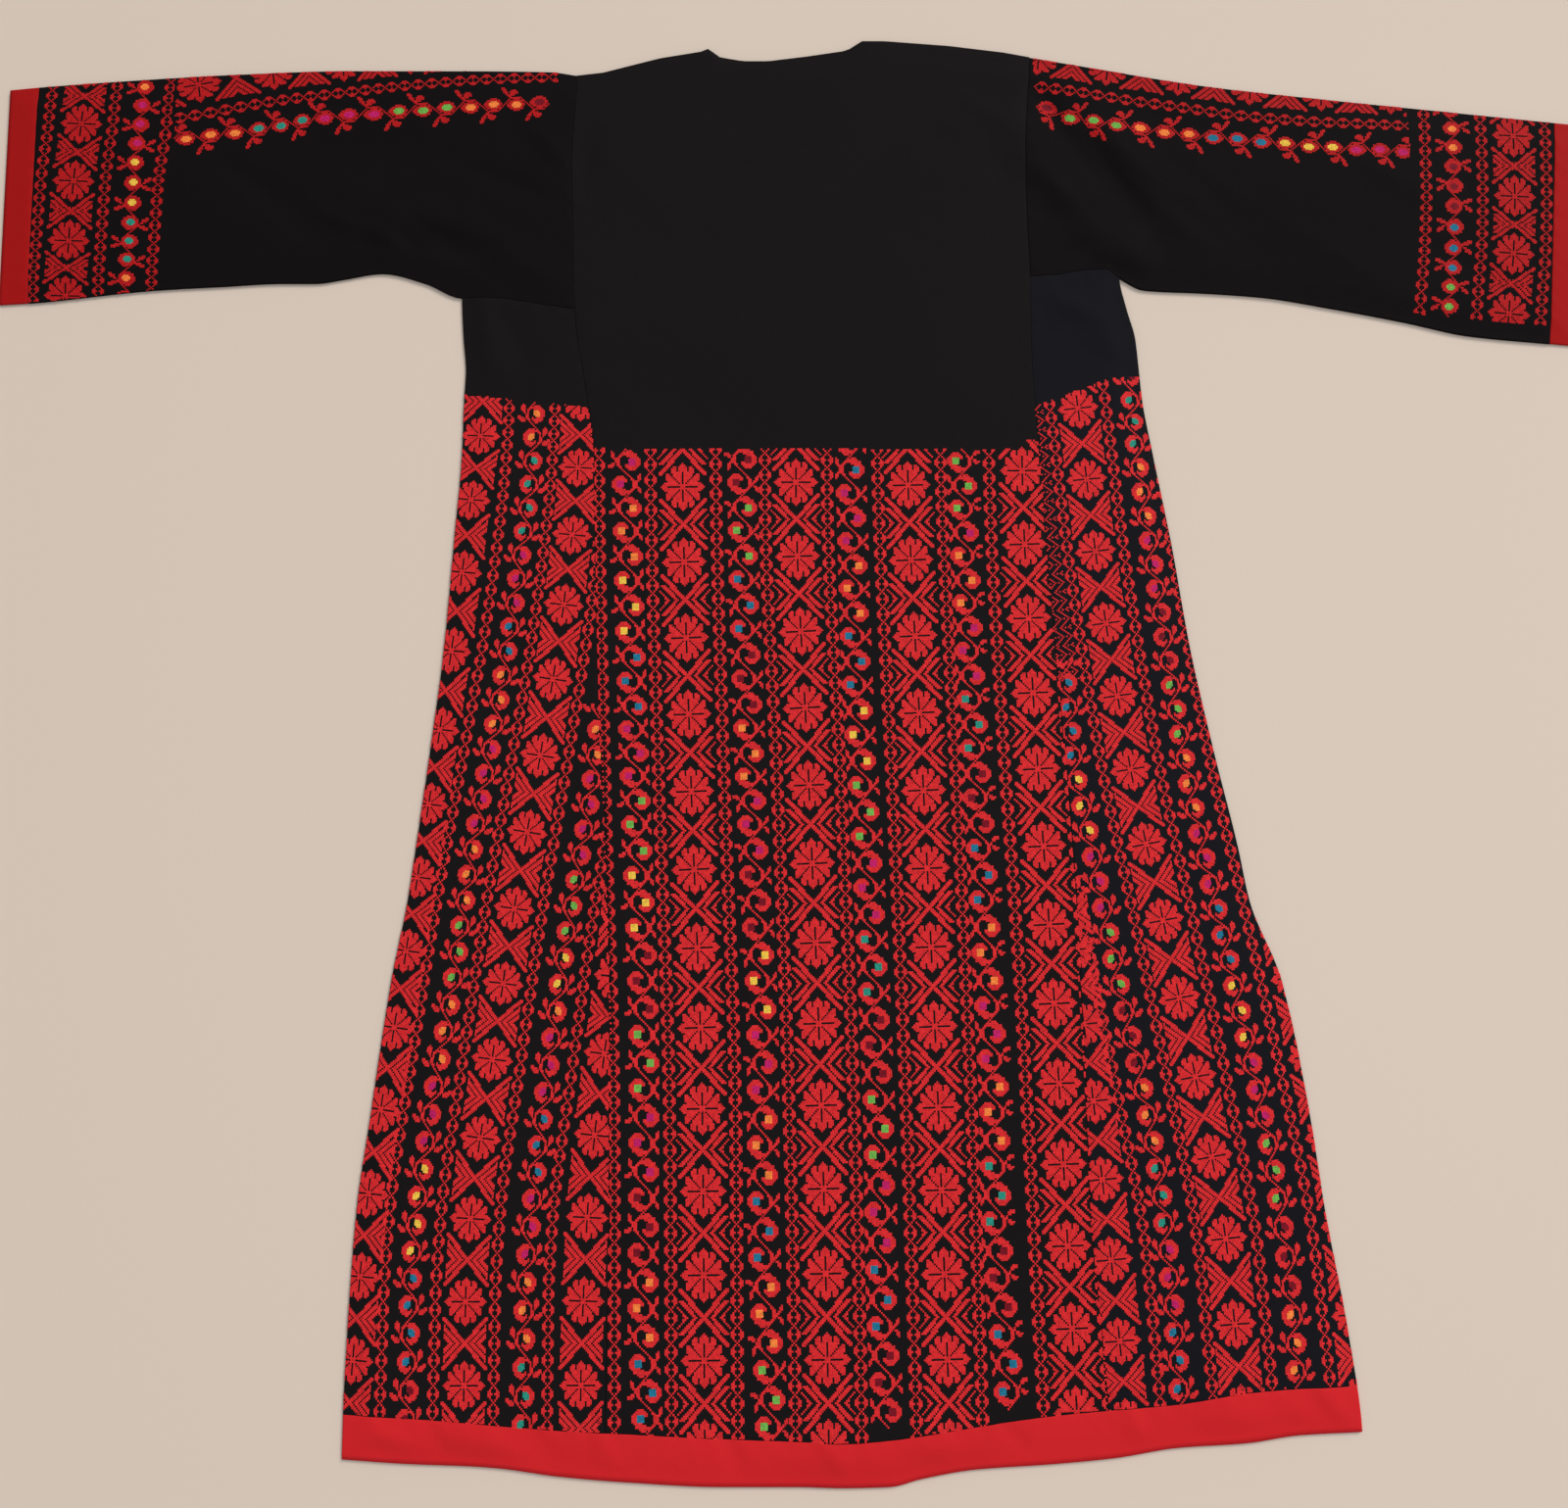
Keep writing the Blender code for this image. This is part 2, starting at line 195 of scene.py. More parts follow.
# Finer creases, which the looks alone have
CREASES = table("""
236 640 262 606 6 -0.9
262 618 300 560 5 0.8
285 590 345 508 5 -0.9
300 600 372 520 6 0.7
240 584 300 505 6 -0.9
232 560 262 528 6 0.8
330 560 410 488 7 -0.7
352 600 440 520 8 0.6
336 470 372 520 6 -0.8
300 470 326 456 5 0.8
246 470 292 478 5 -0.7
150 640 215 600 8 0.6
120 600 190 560 9 -0.5
-100 600 10 560 12 0.5
-60 520 -140 460 12 -0.5
-170 560 -120 500 10 0.5
-200 630 -150 600 8 -0.6
-260 600 -226 560 7 1
-330 560 -250 530 8 -1.2
-390 540 -320 560 8 1.1
-420 500 -380 470 6 1.1
-370 500 -330 470 6 -1.1
-480 520 -420 490 7 1.2
-560 560 -500 520 9 -1.2
-700 600 -640 560 10 0.6
-720 480 -660 450 9 -0.5
560 560 640 520 10 0.6
620 480 700 430 9 -0.6
480 500 560 450 9 0.6
-300 380 -262 340 7 -0.6
-316 330 -280 250 8 0.5
245 430 300 400 6 0.7
262 380 322 350 7 -0.6
-120 260 -80 60 12 0.4
40 200 70 -60 14 -0.4
170 100 190 -160 12 0.4
-60 -120 -80 -360 14 -0.4
130 -260 150 -520 14 0.4
-300 0 -290 -260 12 0.4
-240 -300 -250 -560 12 -0.4
400 -180 430 -480 12 0.4
-380 -640 -340 -665 7 1.1
-330 -640 -316 -668 6 -1
-180 -646 -160 -682 7 1.1
-60 -650 -50 -688 8 -1
30 -652 48 -688 7 1.1
190 -636 214 -668 7 -1
300 -622 318 -660 7 1.1
460 -606 490 -640 7 -1
""")
CREASE_DEPTH = 1.6  # times the finer creases' heights
HIDDEN_CREASES = table("""
-120 380 90 300 16 -0.3
60 120 -40 -60 18 -0.3
-90 -260 60 -420 18 -0.25
150 500 40 420 14 -0.3
-560 560 -430 500 14 -0.3
420 540 560 470 14 -0.3
-300 -260 -240 -480 14 -0.25
330 -220 380 -460 14 -0.25
""")

# Seams sink in, and pucker a little along their length
SEAM_DIP = 0.25
SEAM_SOFT = 2.4
PUCKER = 0.28
PUCKER_REACH = 9.0
PUCKER_LENGTH = 3.4

# The height of the shown layer is worked out once, on a map with this step
MAP_STEP = 2.5
MAP_LOW = (-792.0, -704.0)
MAP_COUNT = (636, 562)

# Colours, linear
BLACK = (0.0070, 0.0054, 0.0058)
BLACK_BLUISH = (0.0064, 0.0060, 0.0084)
# The sleeves' black is the body's own cloth darkened: painted shade for how the light falls on their
# weave
SLEEVE_BLACK_SHADED = (0.0048, 0.0034, 0.0038)
SATIN_RED = (0.58, 0.015, 0.019)
# The cuffs' red is the hem's satin darkened: painted shade for the light falling across their weave,
# which is turned a quarter round
CUFF_RED_SHADED = (0.35, 0.007, 0.007)
# The sleeves' red thread is darkened too: painted shade for the light falling across their stitches,
# which run a quarter round
SLEEVE_THREAD_RED_SHADED = (0.50, 0.010, 0.012)
THREADS = {
    "red_thread": (0.74, 0.024, 0.028),
    "orange_thread": (0.98, 0.25, 0.05),
    "yellow_thread": (0.92, 0.58, 0.07),
    "green_thread": (0.17, 0.47, 0.08),
    "teal_thread": (0.025, 0.30, 0.22),
    "blue_thread": (0.016, 0.19, 0.31),
    "magenta_thread": (0.56, 0.014, 0.14),
    "dark_red_thread": (0.20, 0.006, 0.016),
}
BUD_COLOURS = {
    "o": "orange_thread",
    "y": "yellow_thread",
    "g": "green_thread",
    "t": "teal_thread",
    "b": "blue_thread",
    "m": "magenta_thread",
    "d": "dark_red_thread",
}

# Charts: # is a red stitch, c one in the bud's colour. Rows run along the band and columns
# across it. The rosette's runs from its tip to its middle row, and from its middle column out.
QUARTER_ROSETTE = """
#............
##...........
###.##.......
###.###......
###.###......
.######......
.#####..##...
.#####.###...
.####.####...
.###.#####...
.##.#####....
.#.########..
############.
##.......####
""".split()
ROSETTE_HALF = 13
CROSS_HALF = 14
CHAIN = """
...#...
..#.#..
.#...#.
##...##
###.###
##...##
.#...#.
..#.#..
""".split()
LATTICE = """
.#.#.#..#..#.#.
....#....#....#
#....#....#....
.#....#....#...
..#....#....#..
...#....#....#.
.#..#.#..#.#..#
...#....#....#.
..#....#....#..
.#....#....#...
#....#....#....
....#....#....#
""".split()

# Vine charts: first row from the bud's middle, first column from the vine's line, and the
# rows. The bud is on the left, the stem and its leaves on the right; the next is mirrored.
BACK_STEM = (-5, -1, """
...#...
....#..
....##.
.....##
.....##
.....##
.....##
.....##
....##.
....#..
...#...
..#....
.#.....
#......
""".split())
BACK_BUD = (-5, -8, """
...####.....
..######....
.########...
###cccc##...
###cccc.....
###cccc.....
###cccc.....
.#####......
..######....
..##########
....######..
.....###....
""".split())
GORE_STEM = (-7, 0, """
#....
.#...
..#..
...#.
...##
....#
....#
....#
....#
....#
...##
...#.
..#..
.#...
""".split())
GORE_BUD = (-5, -6, """
...####..
..#######
.######..
####ccc..
###cccc..
###cccc..
###ccc...
.####..#.
.#######.
..#####..
....##...
""".split())
CUFF_STEM = (-6, 0, """
#....
.#...
..#..
...#.
....#
....#
....#
....#
....#
...#.
..#..
.#...
""".split())
CUFF_BUD = (-4, -5, """
...####..
.#######.
.###ccc##
###ccccc#
###ccccc#
####ccc##
.########
..######.
...###...
""".split())
SLEEVE_STEM = (-7, 0, """
#....
.#...
..#..
...#.
....#
....#
....#
....#
....#
....#
....#
...#.
..#..
.#...
""".split())
SLEEVE_BUD = (-5, -4, """
...##...
..####..
.######.
.##cc##.
##cccc##
##cccc##
##cccc##
##cccc##
.##cc##.
.######.
...##...
""".split())
LEAVES = {
    "upright": (-6, 6, "..# .## .## .## ##. #.. #.. #.. ##. .## .## ..#".split()),
    "flat": (-6, 6, "..### .#### .##.. #.... #.... .##.. .#### ..##.".split()),
    "slanting": (-4, 6, "...# ..## ..## .##. ##.. #... .##. ..## ..## ...#".split()),
    "upright_first": (-6, 6, "..#.. .##.. .##.. .##.. ##... #.... #.... .##.. .#### ..###".split()),
    "flat_first": (-3, 6, "..### .#### .##.. #.... #.... ##... .##.. .##.. .##.. ..#..".split()),
    "gore": (
        -6, 5, "..#... .###.. .###.. .###.. .##... .#.... #..... #...## #.#### .####. .###..".split()
    ),
    "cuff": (-3, 5, "....##. ..####. ..###.. .##.... #...... ####... .#####. ...###.".split()),
    "sleeve": (
        -8, 5, ".....## ...#### ..####. .###... ##..... ####... .####.. .####.. ..###.. ..##...".split()
    ),
}

# Vine styles: charts, rows from one bud to the next, whether the bud is turned half round on
# the other side instead of mirrored, and whether the rows run upwards
STYLE_COLUMNS = ("charts", "rows", "turned", "upwards")
VINE_STYLES = {
    "back": ((BACK_STEM, BACK_BUD), 14, True, False),
    "gore": ((GORE_STEM, GORE_BUD), 14, False, False),
    "cuff": ((CUFF_STEM, CUFF_BUD), 12, False, False),
    "cuff_up": ((CUFF_STEM, CUFF_BUD), 12, False, True),
    "sleeve": ((SLEEVE_STEM, SLEEVE_BUD), 14, False, False),
}

# Links of the chain and of the lattice in one repeat of the rosettes
CHAIN_LINKS = 5
LATTICE_LINKS = 4

# Lines of rosettes: repeat number, x and y of a rosette's middle
LINES = {
    "back_1": table("""
-1 -110 309, 0 -109 235, 4 -99 -59, 8 -87 -353, 11 -84 -578, 12 -83 -654
"""),
    "back_2": table("""
-1 0 312, 0 0 240, 4 12 -53, 8 23 -350, 11 28 -577, 12 29 -653
"""),
    "back_3": table("""
-1 107 310, 0 108 237, 4 120 -58, 8 131 -352, 11 137 -577, 12 139 -653
"""),
    "back_4": table("""
-1 218 325, 0 218 251, 3 225 35, 7 240 -257, 11 251 -550, 12 254 -624, 13 256 -698
"""),
    "left_1": table("""
-1 -302 355, 0 -305 286, 1 -313 223, 2 -320 152, 4 -338 0, 8 -374 -279, 10 -394 -430,
12 -404 -578, 13 -408 -652
"""),
    "left_2": table("""
-1 -208 384, 0 -208 319, 1 -210 254, 3 -222 120, 5 -242 -25, 7 -264 -169, 9 -282 -308,
11 -299 -452, 12 -302 -526, 13 -302 -600, 14 -302 -675
"""),
    "left_3": table("""
-4 -150 -6, -2 -169 -232, -1 -178 -303, 0 -186 -377, 1 -192 -451, 3 -196 -600, 4 -196 -674
"""),
    "right_2": table("""
-1 265 383, 0 273 313, 2 287 172, 5 316 -38, 7 343 -180, 9 369 -324, 11 393 -470,
12 399 -546, 13 404 -620, 14 408 -694
"""),
    "right_1": table("""
-2 250 -140, 0 267 -276, 2 281 -417, 4 294 -561, 5 299 -632, 6 303 -703
"""),
    "lattice": table("""
-1 265 383, 0 273 313, 2 287 172, 3.75 303 52
"""),
    "cuff_left": table("""
0 -703 661, 1 -705 602, 2 -710 543, 3 -712 482, 4 -714 427, 5 -715 370
"""),
    "cuff_right": table("""
0 711 652, 1 708 590, 2 706 527, 3 702 469, 4 695 408, 5 690 348
"""),
    "top_left": table("""
-1 -666 630, 0 -592 644, 1 -519 658, 2 -450 667, 3 -384 675, 4 -315 681, 5 -246 684,
6 -177 686
"""),
    "top_right": table("""
-1 655 628, 0 590 633, 1 521 636, 2 451 642, 3 381 652, 4 310 662, 5 242 673, 6 174 684
"""),
}
# What goes with the lines whose names start so: area, width of a stitch, rows from a rosette's
# middle to the cross between two, row where the cross's arms end, and whether it is dense
GROUND_COLUMNS = ("area", "cell", "half_rows", "arm_end", "dense")
GROUNDS = {
    "back": ("back", 1.70, 21, 7, False),
    "left": ("left_gore", 1.54, 23, 9, True),
    "right": ("right_gore", 1.58, 23, 9, True),
    "lattice": ("right_gore", 1.58, 23, 9, True),
    "cuff_left": ("left_cuff", 1.66, 19, 8, True),
    "cuff_right": ("right_cuff", 1.66, 19, 8, True),
    "top_left": ("left_top", 1.60, 22, 9, True),
    "top_right": ("right_top", 1.60, 22, 9, True),
}

# Bands: line, and distance from it at the line's start and at its end
BAND_COLUMNS = ("line", "start", "end")
ROSETTE_BANDS = (
    ("back_1", 0, 0), ("back_2", 0, 0), ("back_3", 0, 0), ("back_4", 0, 0), ("left_1", 0, 0),
    ("left_2", 0, 0), ("left_3", 0, 0), ("right_1", 0, 0), ("right_2", 0, 0), ("right_2", 104, 110),
    ("cuff_left", 0, 0), ("cuff_right", 0, 0), ("top_left", 0, 0), ("top_right", 0, 0),
)
CHAIN_BANDS = (
    ("back_1", -80.5, -82), ("back_1", -31, -30), ("back_1", 32, 30), ("back_2", -30, -30),
    ("back_2", 30, 30), ("back_3", -29, -30), ("back_3", 32, 30), ("back_4", -32, -30),
    ("back_4", 30, 29), ("left_2", -69, -76), ("left_2", -25, -28), ("left_2", 26, 27),
    ("left_2", 72, 76), ("right_2", -74, -74), ("right_2", -27, -26), ("right_2", 27, 28.5),
    ("right_2", 72, 82), ("cuff_left", -33, -31), ("cuff_left", 31, 32), ("cuff_left", 84, 83),
    ("cuff_right", -88, -86), ("cuff_right", -32, -31), ("cuff_right", 32, 31),
    ("top_left", -32, -32), ("top_right", 32, 32),
)
LATTICE_BANDS = (("lattice", -45.5, -45.5),)

# Vines: area, style, leaves of its left and of its right buds, side of the first bud, colours
# of the buds in order from bud 0, width of a stitch, and then bud number, x and y along the line
VINE_COLUMNS = ("area", "style", "leaves", "first_side", "colours", "cell", "line")
VINES = (
    ("back", "back", ("upright", "upright_first"), 1,
     "mmoooyyybbbmmmgggyyydddgggmmmdddooobbbb", 1.66, table("""
-1 -165 284, 0 -164 260, 2.5 -162 203, 9.5 -156 34, 14.5 -151 -79, 24.5 -141 -323,
33.5 -140 -545, 36.5 -136 -618, 38 -135 -654
""")),
    ("back", "back", ("slanting", "flat_first"), 1,
     "ddgggbbbdddooommmdddyyymmmooobbboooggg", 1.66, table("""
-1 -52 288, 0 -52 263, 3.5 -51 180, 11.5 -45 -11, 15.5 -41 -102, 23.5 -32 -299,
29.5 -31 -450, 36.5 -24 -624, 38 -23 -661
""")),
    ("back", "back", ("slanting", "upright"), 1,
     "bmmmooobbbyyygggmmmtttdddgggmmmbbbddd", 1.66, table("""
-1 52 278, 0 52 253, 1.5 53 217, 8.5 57 54, 15.5 66 -114, 21.5 72 -259, 26.5 76 -383,
31.5 77 -511, 36 81 -622, 38 82 -672
""")),
    ("back", "back", ("flat", "upright"), -1,
     "gggmooommmtttdddbbbooommmoootttdddbbb", 1.66, table("""
-1 160 284, 0 160 260, 2.5 161 202, 9.5 166 40, 16.5 174 -125, 22.5 180 -272, 26.5 183 -369,
29.5 183 -443, 34.5 190 -568, 36 193 -606, 38 195 -657
""")),
    ("left_gore", "gore", ("gore", "gore"), 1,
     "oottttmmmbbooommmmooogggooommmyyyybbbbdd", 1.54, table("""
-1 -253 330, 0 -253 307, 1.5 -254 272, 7.5 -268 133, 12.5 -284 16, 18.5 -306 -126,
23.5 -321 -246, 28.5 -340 -371, 33.5 -352 -494, 35.5 -353 -542, 38 -353 -605, 40 -353 -655
""")),
    ("left_gore", "gore", ("gore", "gore"), -1, "oommmmgggyyommmbbbmmmooottt", 1.54, table("""
-1 -186 24, 0 -188 -1, 2.5 -194 -60, 8.5 -216 -203, 14.5 -234 -351, 17.5 -241 -423,
21.5 -248 -522, 25 -248 -610, 27 -248 -660
""")),
    ("right_gore", "gore", ("gore", "gore"), -1,
     "tttooommmdddgggooommmbbbyyymmmgggdddooom", 1.58, table("""
-1 324 345, 0 325 321, 1.5 327 289, 5.5 338 194, 13.5 362 7, 17.5 377 -87, 21.5 396 -182,
26.5 419 -300, 31.5 441 -422, 36.5 453 -551, 38 454 -587, 40 455 -640
""")),
    ("right_gore", "gore", ("gore", "gore"), 1, "bbbbyyymmmgggdddoootttmmmbbbo", 1.58, table("""
-1 255 68, 0 257 44, 3.5 263 -37, 5.5 272 -85, 11.5 298 -228, 17.5 326 -371, 20.5 336 -444,
26.5 347 -591, 29 350 -655
""")),
    ("left_top", "sleeve", ("sleeve", "sleeve"), -1, "oootttmmmgggoood", 1.60, table("""
-1 -626 584, 0 -602 587, 3 -531 597, 6 -466 609, 9 -393 615, 12 -322 620, 15 -254 624,
16 -231 625
""")),
    ("right_top", "sleeve", ("sleeve", "sleeve"), 1, "mmmyyybbbooogggd", 1.60, table("""
-1 622 570, 0 599 573, 3 530 577, 6 460 584, 9 389 591, 12 317 600, 14 272 608, 15 249 619,
16 226 626
""")),
    ("left_cuff", "cuff_up", ("cuff", "cuff"), -1, "otttyyymmmoo", 1.66, table("""
-1 -656 425, 0 -655 444, 3 -652 500, 6 -650 561, 8 -647 601, 10 -645 641, 11 -645 661
""")),
    ("right_cuff", "cuff_up", ("cuff", "cuff"), -1, "oodddbbbgg", 1.66, table("""
-1 648 618, 0 648 598, 2 647 558, 4 646 517, 6 644 475, 9 637 416, 10 635 396
""")),
)

# Where the cross-stitch starts and ends on each area
SKIRT_STARTS = {
    "back": ((-230, 273), (216, 273), (218, 282), (240, 280)),
    "left_gore": ((-330, 328), (-202, 314)),
    "right_gore": ((228, 314), (234, 316), (260, 326), (299, 341), (332, 348)),
}
RIGHT_CUFF_END = ((602, 409), (662, 402), (731, 397))
LEFT_TOP_ENDS = (-613, -235)
RIGHT_TOP_ENDS = (236, 605)
LEFT_CUFF_END = -616
STITCH_MARGIN = 0.1  # clear of a seam
FOLD_TURN = 1.9  # how far round a fold the stitches are made, in radians

# Size of a stitch: its corners' and its middle's height over the cloth, and how uneven it is
STITCH_CORNER = 0.14
STITCH_MIDDLE = 0.48
STITCH_FILL = 0.98
STITCH_UNEVEN = 0.07

# Shells: step of their points, and where the rows beside a seam lie
GRID = 6.4
NEAR_SEAM = (0.0, 1.2, 3.0, 5.6)
BACK_LENGTH, FRONT_LENGTH, FRONT_STEP = 1320, 1280, 14
GORE_LENGTH, LEFT_GORE_WIDTH, RIGHT_GORE_WIDTH = 1060, 180, 170
LEFT_ARM_LENGTH, RIGHT_ARM_LENGTH, ARM_WIDTH, ARM_STEP = 532, 510, 225, 5.5
CUFF_STEP, CUFF_ROUND_STEP = 4.2, 4.5
HEM_WIDTH, HEM_BAND, HEM_STEP = 926, 41, 5


def curve(rows, at):
    """Reads (place, value) rows at any places, smoothly and with no overshoot."""
    places, values = np.array(rows, float).T
    steps = np.diff(places)
    slopes = np.diff(values) / steps
    product = slopes[1:] * slopes[:-1]
    total = np.where(product > 0, slopes[1:] + slopes[:-1], 1)
    tangents = np.concatenate((slopes[:1], np.where(product > 0, 2 * product / total, 0), slopes[-1:]))
    held = np.clip(at, places[0], places[-1])
    i = np.clip(np.searchsorted(places, held) - 1, 0, len(steps) - 1)
    t = (held - places[i]) / steps[i]
    start = (1 + 2 * t) * (1 - t) ** 2 * values[i] + t * (1 - t) ** 2 * steps[i] * tangents[i]
    end = t * t * (3 - 2 * t) * values[i + 1] - t * t * (1 - t) * steps[i] * tangents[i + 1]
    return start + end


def body_x(column, y):
    """The x of one of the body's long lines at y."""
    k = BODY_COLUMNS.index(column)
    return curve([(row[0], row[k]) for row in reversed(BODY_ROWS)], y)


def hem_y(column, x):
    """The y of the hem band's upper or lower edge at x."""
    k = HEM_COLUMNS.index(column)
    return curve([(row[0], row[k]) for row in HEM_ROWS], x)


def neck_y(x):
    """The back's shoulders and neckline, whose points at the neck stay sharp."""
    return np.interp(x, *np.array(SHOULDERS_AND_NECK, float).T)


def front_neck_y(x):
    """The front's neckline, cut lower between the same two points."""
    across = np.clip((x - NECK_LEFT) / (NECK_RIGHT - NECK_LEFT), 0, 1)
    return neck_y(x) - FRONT_NECK_DROP * np.sqrt(np.sin(math.pi * across))


def cuff_right_x(y):
    lean = (CUFF_RIGHT_TOP[0] - CUFF_RIGHT_LOW[0]) / (CUFF_RIGHT_TOP[1] - CUFF_RIGHT_LOW[1])
    return CUFF_RIGHT_LOW[0] + lean * (y - CUFF_RIGHT_LOW[1])


def outline():
    """The whole garment's outline in plan, as a closed run of points."""
    left_cuff = CUFF_LEFT_X - CUFF_BAND
    right_cuff = [(cuff_right_x(y) + CUFF_BAND, y) for y in RIGHT_CUFF_END_YS]
    low_right = [p for p in reversed(SLEEVE_RIGHT_LOW) if ARMPITS[1] <= p[0] < RIGHT_REACH]
    side_ys = [row[0] for row in BODY_ROWS if SIDE_YS[0] <= row[0] <= SIDE_YS[1]]
    right_side = [(float(body_x("right_fold", y)), y) for y in side_ys]
    hem = [(row[0], row[2]) for row in reversed(HEM_ROWS)]
    left_side = [(float(body_x("left_fold", y)), y) for y in reversed(side_ys)]
    low_left = [p for p in reversed(SLEEVE_LEFT_LOW) if left_cuff < p[0] <= ARMPITS[0]]
    top = [p for p in SLEEVE_LEFT_TOP if p[0] > left_cuff] + list(SHOULDERS_AND_NECK[1:])
    top += [p for p in SLEEVE_RIGHT_TOP[1:] if p[0] < RIGHT_REACH]
    cuff_left = [(left_cuff, y) for y in LEFT_CUFF_END_YS]
    right = right_cuff + low_right + right_side
    return np.array(top + right + hem + left_side + low_left + cuff_left, float)


def distance_to(points, start, end):
    """How far points lie from a straight run, and how far along it, from 0 to 1."""
    run = end - start
    along = np.clip(((points - start) @ run) / (run @ run), 0, 1)
    return np.linalg.norm(points - start - along[..., None] * run, axis=-1), along


def smooth_step(t):
    t = np.clip(t, 0, 1)
    return t * t * (3 - 2 * t)


def folds_at(points, rows):
    """The height that folds and creases add, each a soft ridge or trough round a straight run."""
    rise = 0
    for row in rows:
        fold = dict(zip(FOLD_COLUMNS, row))
        start = np.array((fold["x0"], fold["y0"]), float)
        end = np.array((fold["x1"], fold["y1"]), float)
        away, along = distance_to(points, start, end)
        profile = smooth_step(1 - away / (2 * fold["half_width"]))
        rise = rise + fold["height"] * profile * (0.55 + 0.45 * np.sin(math.pi * along))
    return rise


def height_map():
    """The rise of the shown layer over its flat height, at the points of an even grid."""
    x = MAP_LOW[0] + MAP_STEP * np.arange(MAP_COUNT[0])
    y = MAP_LOW[1] + MAP_STEP * np.arange(MAP_COUNT[1])
    points = np.stack(np.meshgrid(x, y, indexing="ij"), axis=-1)
    border = outline()
    nearest = np.full(points.shape[:-1], np.inf)
    for start, end in zip(border, np.roll(border, -1, axis=0)):
        nearest = np.minimum(nearest, distance_to(points, start, end)[0])
    x, y = points[..., 0], points[..., 1]
    rise = PUFF + PUFF_WAVE * np.sin(x / 71 + 1.3 * np.sin(y / 118)) * np.cos(y / 93 + 0.6)
    rise = rise + folds_at(points, FOLDS) + CREASE_DEPTH * folds_at(points, CREASES)
    rise = (rise + np.sqrt(rise * rise + SOFT_FLOOR**2)) / 2
    return rise * smooth_step((nearest - EDGE_FLAT) / EDGE_RISE)


def seam_distance(points):
    """How far points lie from the nearest seam of the shown layer."""
    x, y = points[..., 0], points[..., 1]
    left_seam, right_seam = body_x("left_seam", y), body_x("right_seam", y)
    nearest = np.minimum(np.abs(x - left_seam), np.abs(x - right_seam))
    nearest = np.minimum(nearest, np.abs(y - hem_y("top", x)))
    nearest = np.minimum(nearest, np.abs(x - CUFF_LEFT_X))
    nearest = np.minimum(nearest, np.abs(x - cuff_right_x(y)))
    under_left = np.where(x < left_seam, np.abs(y - curve(SLEEVE_LEFT_LOW, x)), np.inf)
    under_right = np.where(x > right_seam, np.abs(y - curve(SLEEVE_RIGHT_LOW, x)), np.inf)
    return np.minimum(nearest, np.minimum(under_left, under_right))


def top_height(points):
    """Height of the shown layer's upper side over points in plan."""
    place = (points - MAP_LOW) / MAP_STEP
    cell = np.clip(np.floor(place).astype(int), 0, np.array(MAP_COUNT) - 2)
    share = np.clip(place - cell, 0, 1)
    i, j = cell[..., 0], cell[..., 1]
    u, v = share[..., 0], share[..., 1]
    low = RISE[i, j] * (1 - u) + RISE[i + 1, j] * u
    high = RISE[i, j + 1] * (1 - u) + RISE[i + 1, j + 1] * u
    rise = low * (1 - v) + high * v
    away = seam_distance(points)
    along = points[..., 0] + points[..., 1]
    waves = np.sin(along / PUCKER_LENGTH + 1.7 * np.sin(along / 31))
    pucker = PUCKER * waves * np.exp(-((away / PUCKER_REACH) ** 2))
    dip = np.minimum(SEAM_DIP, 0.8 * rise) * np.exp(-((away / SEAM_SOFT) ** 2))
    return LAYER_TOP + rise - dip + pucker * smooth_step(rise)


def patch(sides, across, along):
    """Points in plan of a four-sided piece, at shares of its width and of its length."""
    left, right, top, low = sides
    u, v = np.meshgrid(across, along, indexing="ij")
    y = np.zeros_like(u)
    x = np.zeros_like(u)
    for _ in range(12):
        x = left(y) + u * (right(y) - left(y))
        y = top(x) + v * (low(x) - top(x))
    return np.stack((x, y), axis=-1)


def lifted(plan, height):
    return np.concatenate((plan, np.broadcast_to(height, plan.shape[:-1])[..., None]), axis=-1)


def folded_rows(plan, first_fold, last_fold):
    """Rows of points round a cloth that lies double: its shown layer, a rounded fold at one
    or both ends of the plan's rows, and the layer below, in longer steps."""
    plan = plan.copy()
    turns = []
    for folded, end, inner in ((first_fold, 0, 1), (last_fold, -1, -2)):
        out = plan[end] - plan[inner]
        out = out / np.linalg.norm(out, axis=-1, keepdims=True)
        turn = []
        if folded:
            plan[end] = plan[end] - out * FOLD_RADIUS
            for angle in np.linspace(0, math.pi, FOLD_STEPS + 1)[1:-1]:
                shift = out * FOLD_RADIUS * math.sin(angle)
                turn.append(lifted(plan[end] + shift, FOLD_RADIUS * (1 + math.cos(angle))))
        turns.append(turn)
    shown = list(lifted(plan, top_height(plan)))
    kept = sorted({0, len(plan) - 1, *range(0, len(plan), 3)}, reverse=True)
    below = list(lifted(plan[kept], under_height(plan[kept])))
    return shown + turns[1] + below + turns[0][::-1]


def under_height(points):
    """The underside rests flat, apart from a few shallow creases that lift off the surface."""
    return np.clip(-folds_at(points, HIDDEN_CREASES), 0, None)


def even_shares(length, first_seam, last_seam, step=GRID):
    """Shares of a run of this length in even steps, with closer ones at its seams."""
    places = list(np.linspace(0, length, round(length / step) + 1))
    if first_seam:
        places = [*NEAR_SEAM, *(place for place in places if place > NEAR_SEAM[-1] + 2)]
    if last_seam:
        near = [length - place for place in reversed(NEAR_SEAM)]
        places = [*(place for place in places if place < near[0] - 2), *near]
    return np.array(places) / length


